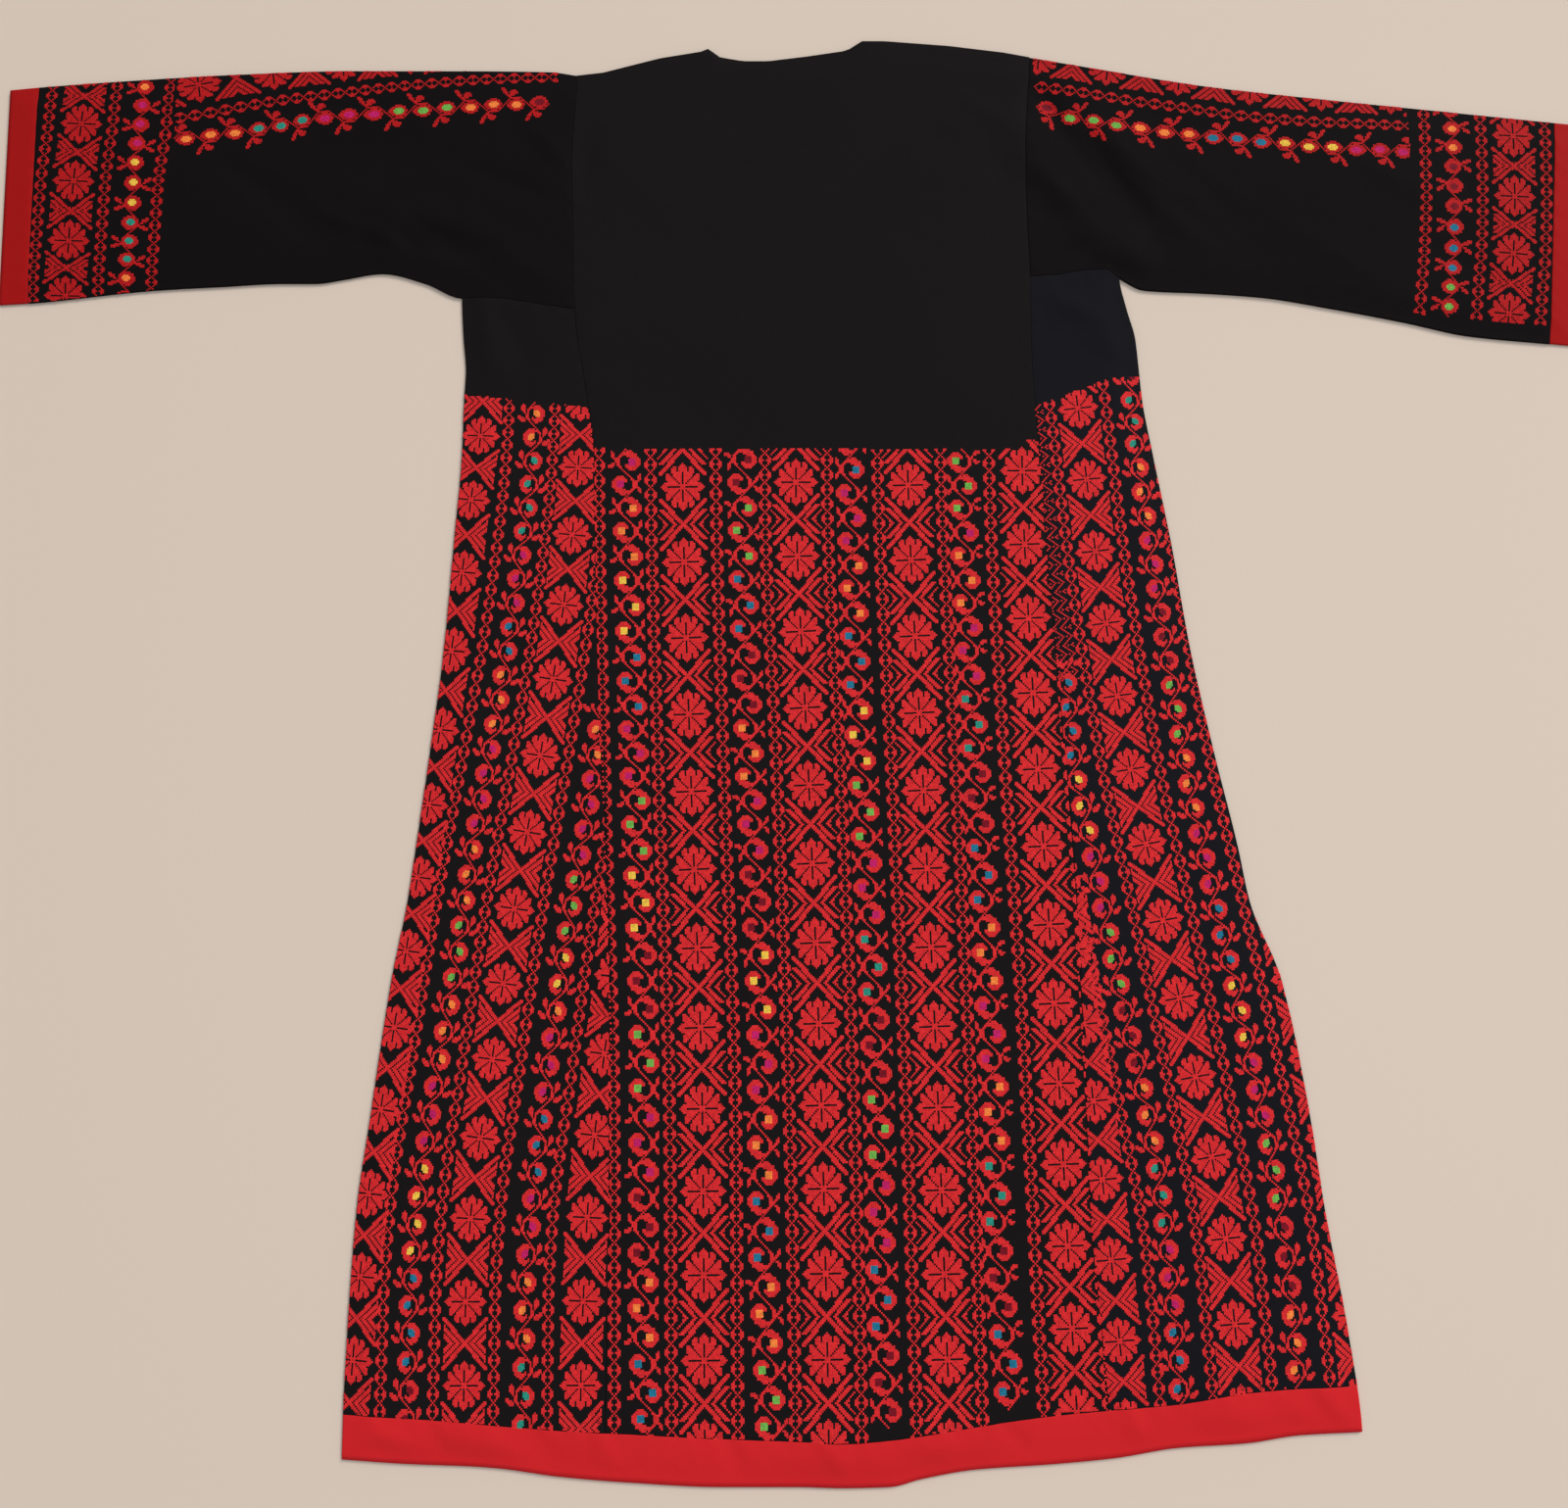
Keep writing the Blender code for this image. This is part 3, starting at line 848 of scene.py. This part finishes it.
def shell(name, rows, closed, material):
    """A thin wall of cloth on rows of points, with its thickness inwards."""
    rows = np.array(rows)
    count, length = rows.shape[:2]
    if np.cross(rows[1, 0, :2] - rows[0, 0, :2], rows[0, 1, :2] - rows[0, 0, :2]) < 0:
        rows = rows[:, ::-1]
    i = np.arange(count if closed else count - 1)[:, None]
    j = np.arange(length - 1)[None, :]
    here, after = i * length + j, (i + 1) % count * length + j
    faces = np.stack((here, after, after + 1, here + 1), axis=-1).reshape(-1, 4)
    piece = mesh_object(name, rows.reshape(-1, 3), faces, material)
    piece.data.shade_smooth()
    wall = piece.modifiers.new("wall", "SOLIDIFY")
    wall.thickness = SHELL * MM
    wall.offset = -1
    wall.use_even_offset = True
    return piece


def mesh_object(name, points, faces, material):
    """A mesh of points in millimetres and of faces that all have as many corners."""
    mesh = bpy.data.meshes.new(name)
    count, corners = faces.shape
    mesh.vertices.add(len(points))
    mesh.vertices.foreach_set("co", (points * MM).astype(np.float32).ravel())
    mesh.loops.add(count * corners)
    mesh.loops.foreach_set("vertex_index", faces.astype(np.int32).ravel())
    mesh.polygons.add(count)
    mesh.polygons.foreach_set("loop_start", np.arange(0, count * corners, corners, dtype=np.int32))
    mesh.update(calc_edges=True)
    mesh.materials.append(material)
    piece = bpy.data.objects.new(name, mesh)
    bpy.context.scene.collection.objects.link(piece)
    return piece


def chart_marks(chart, mark):
    """Rows and columns of the places in a chart that hold one of these marks."""
    return np.argwhere(np.array([[place in mark for place in row] for row in chart]))


def rosette_chart(half_rows, arm_end, dense):
    """Rows and columns of one repeat's stitches: a rosette, and the crosses at its two ends."""
    rows, columns = np.meshgrid(
        np.arange(-half_rows, half_rows), np.arange(-CROSS_HALF, CROSS_HALF + 1), indexing="ij"
    )
    down, across = np.abs(rows), np.abs(columns)
    filled = np.zeros(rows.shape, bool)
    for row, column in chart_marks(QUARTER_ROSETTE, "#"):
        filled |= (down == ROSETTE_HALF - row) & (across == column)
    from_cross = half_rows - down
    arm = from_cross * ROSETTE_HALF / (half_rows - arm_end)
    filled |= (np.abs(across - arm) <= 1.5) & (down >= arm_end) & (across <= ROSETTE_HALF)
    between = from_cross <= half_rows - ROSETTE_HALF
    if dense:
        for offset in (4.2, 8.2):
            filled |= between & (np.abs(across - arm - offset) <= 1.5) & (across < ROSETTE_HALF)
    else:
        filled |= between & (np.abs(across - arm - 4.4) <= 1.2) & (across <= ROSETTE_HALF)
        filled |= between & (np.abs(across - arm - 9.3) <= 0.8)
    return np.stack((rows[filled], columns[filled]), axis=1)


def on_line(points, place, across):
    """Points at places along a line, and at distances across it, to the right going down it."""
    rows = np.array(points, float)

    def spot(at):
        return np.stack((curve(rows[:, :2], at), curve(rows[:, ::2], at)), axis=-1)

    held = np.clip(place, rows[0, 0], rows[-1, 0])
    step = 0.04
    run = spot(held + step) - spot(held - step)
    run = run / np.linalg.norm(run, axis=-1, keepdims=True)
    side = np.stack((-run[..., 1], run[..., 0]), axis=-1)
    return spot(held) + side * across[..., None]


def stitch_corners(line, place, row_length, across, cell):
    """The corners and the middle of stitches at places along a line."""
    u = np.array((-0.5, 0.5, 0.5, -0.5, 0)) * STITCH_FILL
    v = np.array((-0.5, -0.5, 0.5, 0.5, 0)) * STITCH_FILL
    places = place[:, None] + u * row_length
    return on_line(line, places, across[:, None] + v * cell)


def read_band(row):
    ground = GROUNDS[row[0].rstrip("_1234")]
    return dict(zip(BAND_COLUMNS + GROUND_COLUMNS, row + ground))


def rosette_stitches(row):
    band = read_band(row)
    line = LINES[band["line"]]
    marks = rosette_chart(band["half_rows"], band["arm_end"], band["dense"])
    row_length = 1 / (2 * band["half_rows"])
    repeats = np.arange(math.ceil(line[0][0]), math.floor(line[-1][0]) + 1)
    place = (repeats[:, None] + marks[:, 0] * row_length).ravel()
    columns = np.tile(marks[:, 1], len(repeats))
    share = (place - line[0][0]) / (line[-1][0] - line[0][0])
    across = band["start"] + share * (band["end"] - band["start"]) + columns * band["cell"]
    held = (place >= line[0][0]) & (place <= line[-1][0])
    return band["area"], stitch_corners(line, place[held], row_length, across[held], band["cell"])


def chain_stitches(row, chart, repeats):
    band = read_band(row)
    line = LINES[band["line"]]
    marks = chart_marks(chart, "#")
    row_length = 1 / (repeats * len(chart))
    links = np.arange(math.ceil(line[0][0]) * repeats, math.floor(line[-1][0] * repeats))
    place = (links[:, None] / repeats + marks[:, 0] * row_length).ravel()
    columns = np.tile(marks[:, 1] - len(chart[0]) // 2, len(links))
    share = (place - line[0][0]) / (line[-1][0] - line[0][0])
    across = band["start"] + share * (band["end"] - band["start"]) + columns * band["cell"]
    return band["area"], stitch_corners(line, place, row_length, across, band["cell"])


def vine_stitches(row):
    """The stitches of one vine, by colour. Its buds alternate between its two sides."""
    vine = dict(zip(VINE_COLUMNS, row))
    style = dict(zip(STYLE_COLUMNS, VINE_STYLES[vine["style"]]))
    found = []
    line = vine["line"]
    for bud, colour in enumerate("d" + vine["colours"], start=-1):
        on_right = vine["first_side"] * (-1) ** bud > 0
        layers = [(chart, style["turned"] and chart is BACK_BUD) for chart in style["charts"]]
        layers.append((LEAVES[vine["leaves"][on_right]], False))
        for (first_row, first_column, chart), turned in layers:
            for mark, thread in (("#", "red_thread"), ("c", BUD_COLOURS[colour])):
                marks = chart_marks(chart, mark)
                if not len(marks):
                    continue
                rows = (marks[:, 0] + first_row) * (-1 if turned and on_right else 1)
                rows = rows * (-1 if style["upwards"] else 1)
                columns = (marks[:, 1] + first_column) * (-1 if on_right else 1)
                place = bud + rows / style["rows"]
                held = (place >= line[0][0]) & (place <= line[-1][0])
                across = columns[held] * vine["cell"]
                corners = stitch_corners(line, place[held], 1 / style["rows"], across, vine["cell"])
                found.append((thread, vine["area"], corners))
    return found


def held_on(area, centres):
    """Which stitches lie on an area, by their middles."""
    x, y = centres[:, 0], centres[:, 1]
    if area in SKIRT_STARTS:
        held = (y < np.interp(x, *zip(*SKIRT_STARTS[area]))) & (y > hem_y("top", x) + STITCH_MARGIN)
        left_seam, right_seam = body_x("left_seam", y), body_x("right_seam", y)
        if area == "left_gore":
            return held & (x < left_seam - STITCH_MARGIN)
        if area == "right_gore":
            return held & (x > right_seam + STITCH_MARGIN)
        return held & (x > left_seam + STITCH_MARGIN) & (x < right_seam - STITCH_MARGIN)
    if area in ("left_cuff", "left_top"):
        ends = LEFT_TOP_ENDS if area == "left_top" else (CUFF_LEFT_X + STITCH_MARGIN, LEFT_CUFF_END)
        return (x > ends[0]) & (x < ends[1]) & (y > curve(SLEEVE_LEFT_LOW, x) + STITCH_MARGIN)
    held = y > curve(SLEEVE_RIGHT_LOW, x) + STITCH_MARGIN
    if area == "right_cuff":
        held &= y > np.interp(x, *zip(*RIGHT_CUFF_END))
        return held & (x < cuff_right_x(y) - STITCH_MARGIN)
    return held & (x > RIGHT_TOP_ENDS[0]) & (x < RIGHT_TOP_ENDS[1])


def on_cloth(area, points, lift):
    """Takes points of the cloth's own plane to its surface, and on round its fold."""
    plan = points.copy()
    x, y = points[..., 0], points[..., 1]
    if area == "back":
        return lifted(plan, top_height(plan) + lift)
    if area == "left_gore":
        axis, fold, way = 0, body_x("left_fold", y), -1
    elif area == "right_gore":
        axis, fold, way = 0, body_x("right_fold", y), 1
    elif area.startswith("left"):
        axis, fold, way = 1, curve(SLEEVE_LEFT_TOP, x), 1
    else:
        axis, fold, way = 1, curve(SLEEVE_RIGHT_TOP, x), 1
    start = fold - way * FOLD_RADIUS
    beyond = np.clip((points[..., axis] - start) * way, 0, None)
    angle = beyond / FOLD_RADIUS
    plan[..., axis] = np.where(beyond > 0, start, plan[..., axis])
    flat = top_height(plan) + lift
    reach = FOLD_RADIUS + lift
    plan[..., axis] += np.where(beyond > 0, way * reach * np.sin(angle), 0)
    height = np.where(beyond > 0, FOLD_RADIUS + reach * np.cos(angle), flat)
    held = angle.max(axis=-1) < FOLD_TURN
    return lifted(plan, height)[held]


def stitches_object(name, material, groups):
    """Many stitches as one mesh: each is a low cross of four faces round its raised middle."""
    parts = []
    for area, corners in groups:
        corners = corners[held_on(area, corners[:, 4])]
        uneven = random.normal(0, STITCH_UNEVEN, corners.shape)
        uneven[:, 4] *= 1.6
        lift = np.broadcast_to((STITCH_CORNER,) * 4 + (STITCH_MIDDLE,), corners.shape[:2])
        lift = lift * random.uniform(0.8, 1.15, (len(corners), 1))
        parts.append(on_cloth(area, corners + uneven, lift))
    points = np.concatenate(parts)
    count = len(points)
    first = 5 * np.arange(count)[:, None, None]
    turns = np.array(((0, 1, 4), (1, 2, 4), (2, 3, 4), (3, 0, 4)))
    across, down = points[0, 1, :2] - points[0, 0, :2], points[0, 3, :2] - points[0, 0, :2]
    if np.cross(across, down) < 0:
        turns = turns[:, ::-1]
    faces = (first + turns[None]).reshape(-1, 3)
    piece = mesh_object(name, points.reshape(-1, 3), faces, material)
    unit = np.array(((0, 0), (1, 0), (1, 1), (0, 1), (0.5, 0.5)))
    bake = piece.data.uv_layers.new(name="OFBake")
    plan = points[..., :2].reshape(-1, 2)
    low, high = plan.min(axis=0), plan.max(axis=0)
    bake.uv.foreach_set("vector", ((plan - low) / (high - low))[faces].astype(np.float32).ravel())
    cross = piece.data.uv_layers.new(name="stitch")
    squares = np.tile(unit[turns].reshape(-1, 2), (count, 1))
    cross.uv.foreach_set("vector", squares.astype(np.float32).ravel())
    tone = piece.data.attributes.new("tone", "FLOAT", "FACE")
    tone.data.foreach_set("value", np.repeat(random.uniform(0, 1, count), 4).astype(np.float32))
    return piece


def setting(node, name, value):
    node.inputs[name].default_value = value


def new_material(name, colour, roughness, gloss):
    """A material whose colour is still to be linked, with its nodes, links and shader."""
    material = bpy.data.materials.new(name)
    material.use_nodes = True
    material.diffuse_color = (*colour, 1)
    shader = material.node_tree.nodes["Principled BSDF"]
    setting(shader, "Roughness", roughness)
    setting(shader, "Specular IOR Level", gloss)
    return material, material.node_tree.nodes, material.node_tree.links, shader


def tint_by(nodes, links, shader, colour, share):
    """Colours the shader, darker or lighter by a share."""
    tint = nodes.new("ShaderNodeVectorMath")
    tint.operation = "SCALE"
    tint.inputs[0].default_value = colour
    links.new(share, tint.inputs["Scale"])
    links.new(tint.outputs["Vector"], shader.inputs["Base Color"])


def cloth_material(name, colour, roughness, gloss, thread, weave, uneven):
    """Woven cloth: its weave and small wrinkles as bump, and soft unevenness in colour."""
    material, nodes, links, shader = new_material(name, colour, roughness, gloss)
    place = nodes.new("ShaderNodeTexCoord").outputs["Object"]
    height = None
    for direction in ("X", "Y"):
        wave = nodes.new("ShaderNodeTexWave")
        wave.bands_direction = direction
        setting(wave, "Scale", math.pi / (10 * thread))
        setting(wave, "Distortion", 0.6)
        setting(wave, "Detail", 1.0)
        links.new(place, wave.inputs["Vector"])
        if height is None:
            height = wave.outputs["Fac"]
        else:
            both = nodes.new("ShaderNodeMath")
            both.operation = "MULTIPLY"
            links.new(height, both.inputs[0])
            links.new(wave.outputs["Fac"], both.inputs[1])
            height = both.outputs["Value"]
    bump = nodes.new("ShaderNodeBump")
    setting(bump, "Strength", weave)
    setting(bump, "Distance", thread * 0.25)
    links.new(height, bump.inputs["Height"])
    soft = nodes.new("ShaderNodeTexNoise")
    setting(soft, "Scale", 60.0)
    setting(soft, "Detail", 4.0)
    links.new(place, soft.inputs["Vector"])
    wrinkle = nodes.new("ShaderNodeBump")
    setting(wrinkle, "Strength", 0.35)
    setting(wrinkle, "Distance", 0.0012)
    links.new(soft.outputs["Fac"], wrinkle.inputs["Height"])
    links.new(bump.outputs["Normal"], wrinkle.inputs["Normal"])
    links.new(wrinkle.outputs["Normal"], shader.inputs["Normal"])
    patches = nodes.new("ShaderNodeTexNoise")
    setting(patches, "Scale", 9.0)
    setting(patches, "Detail", 3.0)
    links.new(place, patches.inputs["Vector"])
    ramp = nodes.new("ShaderNodeMapRange")
    setting(ramp, "To Min", 1 - uneven)
    setting(ramp, "To Max", 1 + uneven)
    links.new(patches.outputs["Fac"], ramp.inputs["Value"])
    tint_by(nodes, links, shader, colour, ramp.outputs["Result"])
    return material


def thread_material(name, colour):
    """Thread: each stitch a cross of two arms, dark between them, and no two quite alike."""
    material, nodes, links, shader = new_material(name, colour, 0.6, 0.08)

    def maths(operation, first, second):
        node = nodes.new("ShaderNodeMath")
        node.operation = operation
        for socket, value in zip(node.inputs, (first, second)):
            if isinstance(value, (int, float)):
                socket.default_value = value
            else:
                links.new(value, socket)
        return node.outputs["Value"]

    unit = nodes.new("ShaderNodeUVMap")
    unit.uv_map = "stitch"
    parts = nodes.new("ShaderNodeSeparateXYZ")
    links.new(unit.outputs["UV"], parts.inputs["Vector"])
    u, v = parts.outputs["X"], parts.outputs["Y"]
    one_arm = maths("ABSOLUTE", maths("SUBTRACT", u, v), 0)
    other_arm = maths("ABSOLUTE", maths("SUBTRACT", maths("ADD", u, v), 1), 0)
    away = maths("MINIMUM", one_arm, other_arm)
    dark = nodes.new("ShaderNodeMapRange")
    dark.interpolation_type = "SMOOTHSTEP"
    setting(dark, "From Min", 0.2)
    setting(dark, "From Max", 0.46)
    setting(dark, "To Min", 1.0)
    setting(dark, "To Max", 0.16)
    links.new(away, dark.inputs["Value"])
    tone = nodes.new("ShaderNodeAttribute")
    tone.attribute_name = "tone"
    vary = nodes.new("ShaderNodeMapRange")
    setting(vary, "To Min", 0.82)
    setting(vary, "To Max", 1.12)
    links.new(tone.outputs["Fac"], vary.inputs["Value"])
    share = maths("MULTIPLY", dark.outputs["Result"], vary.outputs["Result"])
    tint_by(nodes, links, shader, colour, share)
    return material


def body_line(column, gap=0):
    return lambda y: body_x(column, y) + gap


def row_line(rows, gap=0):
    return lambda x: curve(rows, x) + gap


def hem_line(column, gap=0):
    return lambda x: hem_y(column, x) + gap


def make_back():
    sides = (
        body_line("left_seam", SEAM_GAP),
        body_line("right_seam", -SEAM_GAP),
        neck_y,
        hem_line("top", SEAM_GAP),
    )
    left_x, right_x = SHOULDERS_AND_NECK[0][0], SHOULDERS_AND_NECK[-1][0]
    shares = even_shares(right_x - left_x, True, True)
    for corner in (NECK_LEFT, NECK_RIGHT):
        at = (corner - left_x) / (right_x - left_x)
        shares[np.abs(shares - at).argmin()] = at
    plan = patch(sides, shares, even_shares(BACK_LENGTH, False, True))
    shown = shell("back_cloth", lifted(plan, top_height(plan)), False, BLACK_MATERIAL)
    sides = (*sides[:2], front_neck_y, sides[3])
    plan = patch(sides, shares, even_shares(FRONT_LENGTH, False, False, FRONT_STEP))
    hidden = shell("front_cloth", lifted(plan, under_height(plan)), False, BLACK_MATERIAL)
    hidden.modifiers["wall"].offset = 1
    return shown, hidden


def make_gores():
    left = (
        body_line("left_fold"),
        body_line("left_seam", -SEAM_GAP),
        row_line(SLEEVE_LEFT_LOW, -SEAM_GAP),
        hem_line("top", SEAM_GAP),
    )
    right = (
        body_line("right_seam", SEAM_GAP),
        body_line("right_fold"),
        row_line(SLEEVE_RIGHT_LOW, -SEAM_GAP),
        hem_line("top", SEAM_GAP),
    )
    along = even_shares(GORE_LENGTH, True, True)
    left_plan = patch(left, even_shares(LEFT_GORE_WIDTH, False, True), along)
    right_plan = patch(right, even_shares(RIGHT_GORE_WIDTH, True, False), along)
    return (
        shell("left_gore_cloth", folded_rows(left_plan[::-1], False, True), False, BLACK_MATERIAL),
        shell("right_gore_cloth", folded_rows(right_plan, False, True), False, BLUISH_MATERIAL),
    )


def make_sleeves():
    left = (
        lambda y: CUFF_LEFT_X + 0 * y,
        body_line("left_seam", -SEAM_GAP),
        row_line(SLEEVE_LEFT_TOP),
        row_line(SLEEVE_LEFT_LOW, SEAM_GAP),
    )
    right = (
        body_line("right_seam", SEAM_GAP),
        cuff_right_x,
        row_line(SLEEVE_RIGHT_TOP),
        row_line(SLEEVE_RIGHT_LOW, SEAM_GAP),
    )
    made = []
    down = even_shares(ARM_WIDTH, False, True, ARM_STEP)
    arms = (("left", left, LEFT_ARM_LENGTH), ("right", right, RIGHT_ARM_LENGTH))
    for side, sides, length in arms:
        plan = patch(sides, even_shares(length, True, True), down)
        rows = folded_rows(plan.transpose(1, 0, 2)[::-1], False, True)
        made.append(shell(f"{side}_sleeve_cloth", rows, False, SLEEVE_SHADED_MATERIAL))
    return made


def make_bands():
    left = (
        lambda y: CUFF_LEFT_X - CUFF_BAND + 0 * y,
        lambda y: CUFF_LEFT_X - 2 * SEAM_GAP + 0 * y,
        row_line(SLEEVE_LEFT_TOP),
        row_line(SLEEVE_LEFT_LOW),
    )
    right = (
        lambda y: cuff_right_x(y) + 2 * SEAM_GAP,
        lambda y: cuff_right_x(y) + CUFF_BAND,
        row_line(SLEEVE_RIGHT_TOP),
        row_line(SLEEVE_RIGHT_LOW),
    )
    hem = (
        body_line("left_fold"),
        body_line("right_fold"),
        hem_line("top", -SEAM_GAP),
        hem_line("low"),
    )
    down = even_shares(ARM_WIDTH, False, False, CUFF_ROUND_STEP)
    made = []
    cuffs = (("left_cuff_cloth", left, (False, True)), ("right_cuff_cloth", right, (True, False)))
    for name, sides, seams in cuffs:
        plan = patch(sides, even_shares(CUFF_BAND, *seams, CUFF_STEP), down).transpose(1, 0, 2)
        made.append(shell(name, folded_rows(plan, True, True), True, CUFF_SHADED_MATERIAL))
    across = even_shares(HEM_WIDTH, False, False, HEM_STEP)
    plan = patch(hem, across, even_shares(HEM_BAND, True, False, HEM_STEP))
    made.append(shell("hem_band_cloth", folded_rows(plan, True, True), True, HEM_MATERIAL))
    return made


def make_stitches():
    """Everything that is stitched, as (piece, slot) pairs, by area and by colour."""
    groups = {}
    for row in ROSETTE_BANDS:
        area, corners = rosette_stitches(row)
        groups.setdefault((f"{area}_rosettes", "red_thread"), []).append((area, corners))
    for row in CHAIN_BANDS:
        area, corners = chain_stitches(row, CHAIN, CHAIN_LINKS)
        groups.setdefault((f"{area}_chains", "red_thread"), []).append((area, corners))
    for row in LATTICE_BANDS:
        area, corners = chain_stitches(row, LATTICE, LATTICE_LINKS)
        groups.setdefault((f"{area}_chains", "red_thread"), []).append((area, corners))
    for thread, area, corners in (found for row in VINES for found in vine_stitches(row)):
        name = f"{area}_vines" if thread == "red_thread" else thread.replace("thread", "buds")
        groups.setdefault((name, thread), []).append((area, corners))
    materials = {thread: thread_material(thread, colour) for thread, colour in THREADS.items()}
    # A darker copy of the red thread for the sleeves and cuffs: painted shade for their stitches facing
    # the light another way
    sleeve_red_shaded = thread_material("red_thread_sleeves_shaded", SLEEVE_THREAD_RED_SHADED)
    made = []
    for (name, thread), found in groups.items():
        on_sleeve = name.startswith(("left_cuff_", "right_cuff_", "left_top_", "right_top_"))
        material = sleeve_red_shaded if on_sleeve and thread == "red_thread" else materials[thread]
        made.append((stitches_object(name, material, found), thread))
    return made


def placed(name, data):
    """A new object in the scene."""
    made = bpy.data.objects.new(name, data)
    bpy.context.scene.collection.objects.link(made)
    return made


def light(name, kind, power, colour, way):
    """A light that shines from this way towards the garment's middle."""
    data = bpy.data.lights.new(name, kind)
    data.energy = power
    data.color = colour
    made = placed(name, data)
    made.rotation_euler = Vector(way).to_track_quat("Z", "Y").to_euler()
    return made


def make_studio():
    bpy.context.scene.view_settings.view_transform = "Standard"
    world = bpy.data.worlds.new("studio")
    bpy.context.scene.world = world
    world.use_nodes = True
    background = world.node_tree.nodes["Background"]
    background.inputs["Color"].default_value = (0.93, 0.96, 1.0, 1)
    background.inputs["Strength"].default_value = 0.55
    light("key", "SUN", 1.9, (1.0, 0.97, 0.93), (0.8, 0.9, 0.95)).data.angle = math.radians(24)
    fill = light("fill", "AREA", 12, (0.94, 0.97, 1.0), (1.1, 0.1, 2.3))
    fill.location = (1.1, 0.1, 2.3)
    fill.data.shape = "RECTANGLE"
    fill.data.size = fill.data.size_y = 2.0
    mesh = bpy.data.meshes.new("floor")
    corners = ((-6, -6), (6, -6), (6, 6), (-6, 6))
    mesh.from_pydata([(x, y, -0.0004) for x, y in corners], [], [(0, 1, 2, 3)])
    material = bpy.data.materials.new("floor")
    material.use_nodes = True
    shader = material.node_tree.nodes["Principled BSDF"]
    setting(shader, "Base Color", (0.655, 0.545, 0.455, 1))
    setting(shader, "Roughness", 0.9)
    mesh.materials.append(material)
    placed("floor", mesh)
    camera = placed("camera", bpy.data.cameras.new("camera"))
    camera.data.lens = 36
    camera.data.sensor_width = 36
    camera.location = (-0.0115, -0.1785, 1.48)
    camera.rotation_euler = (math.radians(6), 0, 0)
    bpy.context.scene.camera = camera


RISE = height_map()
BLACK_MATERIAL = cloth_material("black_cloth_woven", BLACK, 0.7, 0.06, 0.0008, 0.5, 0.12)
# Sleeves: a darker copy of the black cloth, painted shade
SLEEVE_SHADED_MATERIAL = cloth_material("black_cloth_sleeves_shaded", SLEEVE_BLACK_SHADED, 0.7, 0.05, 0.0008, 0.5, 0.12)
BLUISH_MATERIAL = cloth_material("black_cloth_gore", BLACK_BLUISH, 0.7, 0.06, 0.0008, 0.5, 0.12)
HEM_MATERIAL = cloth_material("red_satin_hem", SATIN_RED, 0.55, 0.06, 0.0004, 0.25, 0.06)
# Cuffs: a darker copy of the red satin, painted shade
CUFF_SHADED_MATERIAL = cloth_material("red_satin_cuffs_shaded", CUFF_RED_SHADED, 0.55, 0.04, 0.0004, 0.25, 0.06)
back, front = make_back()
left_gore, right_gore = make_gores()
left_sleeve, right_sleeve = make_sleeves()
left_cuff, right_cuff, hem = make_bands()
stitches = make_stitches()
make_studio()

# Every cloth, the node it stands for, its slot, its whole flat cut in metres and that cut's
# area, what lies on it, and what it rests on
SHEETS = (
    (back, "back_centre", "black_cloth", (0.47, 1.34), 0.585, "back", (front,)),
    (front, "front_centre", "black_cloth", (0.47, 1.34), 0.572, None, ("floor",)),
    (left_gore, "side_left", "black_cloth", (0.48, 1.08), 0.354, "left_gore", ("floor",)),
    (right_gore, "side_right", "black_cloth", (0.47, 1.06), 0.335, "right_gore", ("floor",)),
    (left_sleeve, "sleeve_left", "black_cloth", (0.54, 0.48), 0.236, "left", ("floor",)),
    (right_sleeve, "sleeve_right", "black_cloth", (0.53, 0.47), 0.224, "right", ("floor",)),
    (left_cuff, "cuff_left", "red_satin", (0.0285, 0.444), None, None, ("floor",)),
    (right_cuff, "cuff_right", "red_satin", (0.0285, 0.456), None, None, ("floor",)),
    (hem, "hem_band", "red_satin", (1.86, 0.041), None, None, ("floor",)),
)
for piece, node, slot, flat, area, stitched, carried in SHEETS:
    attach(piece, "root")
    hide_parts(node)
for piece, thread in stitches:
    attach(piece, "root")
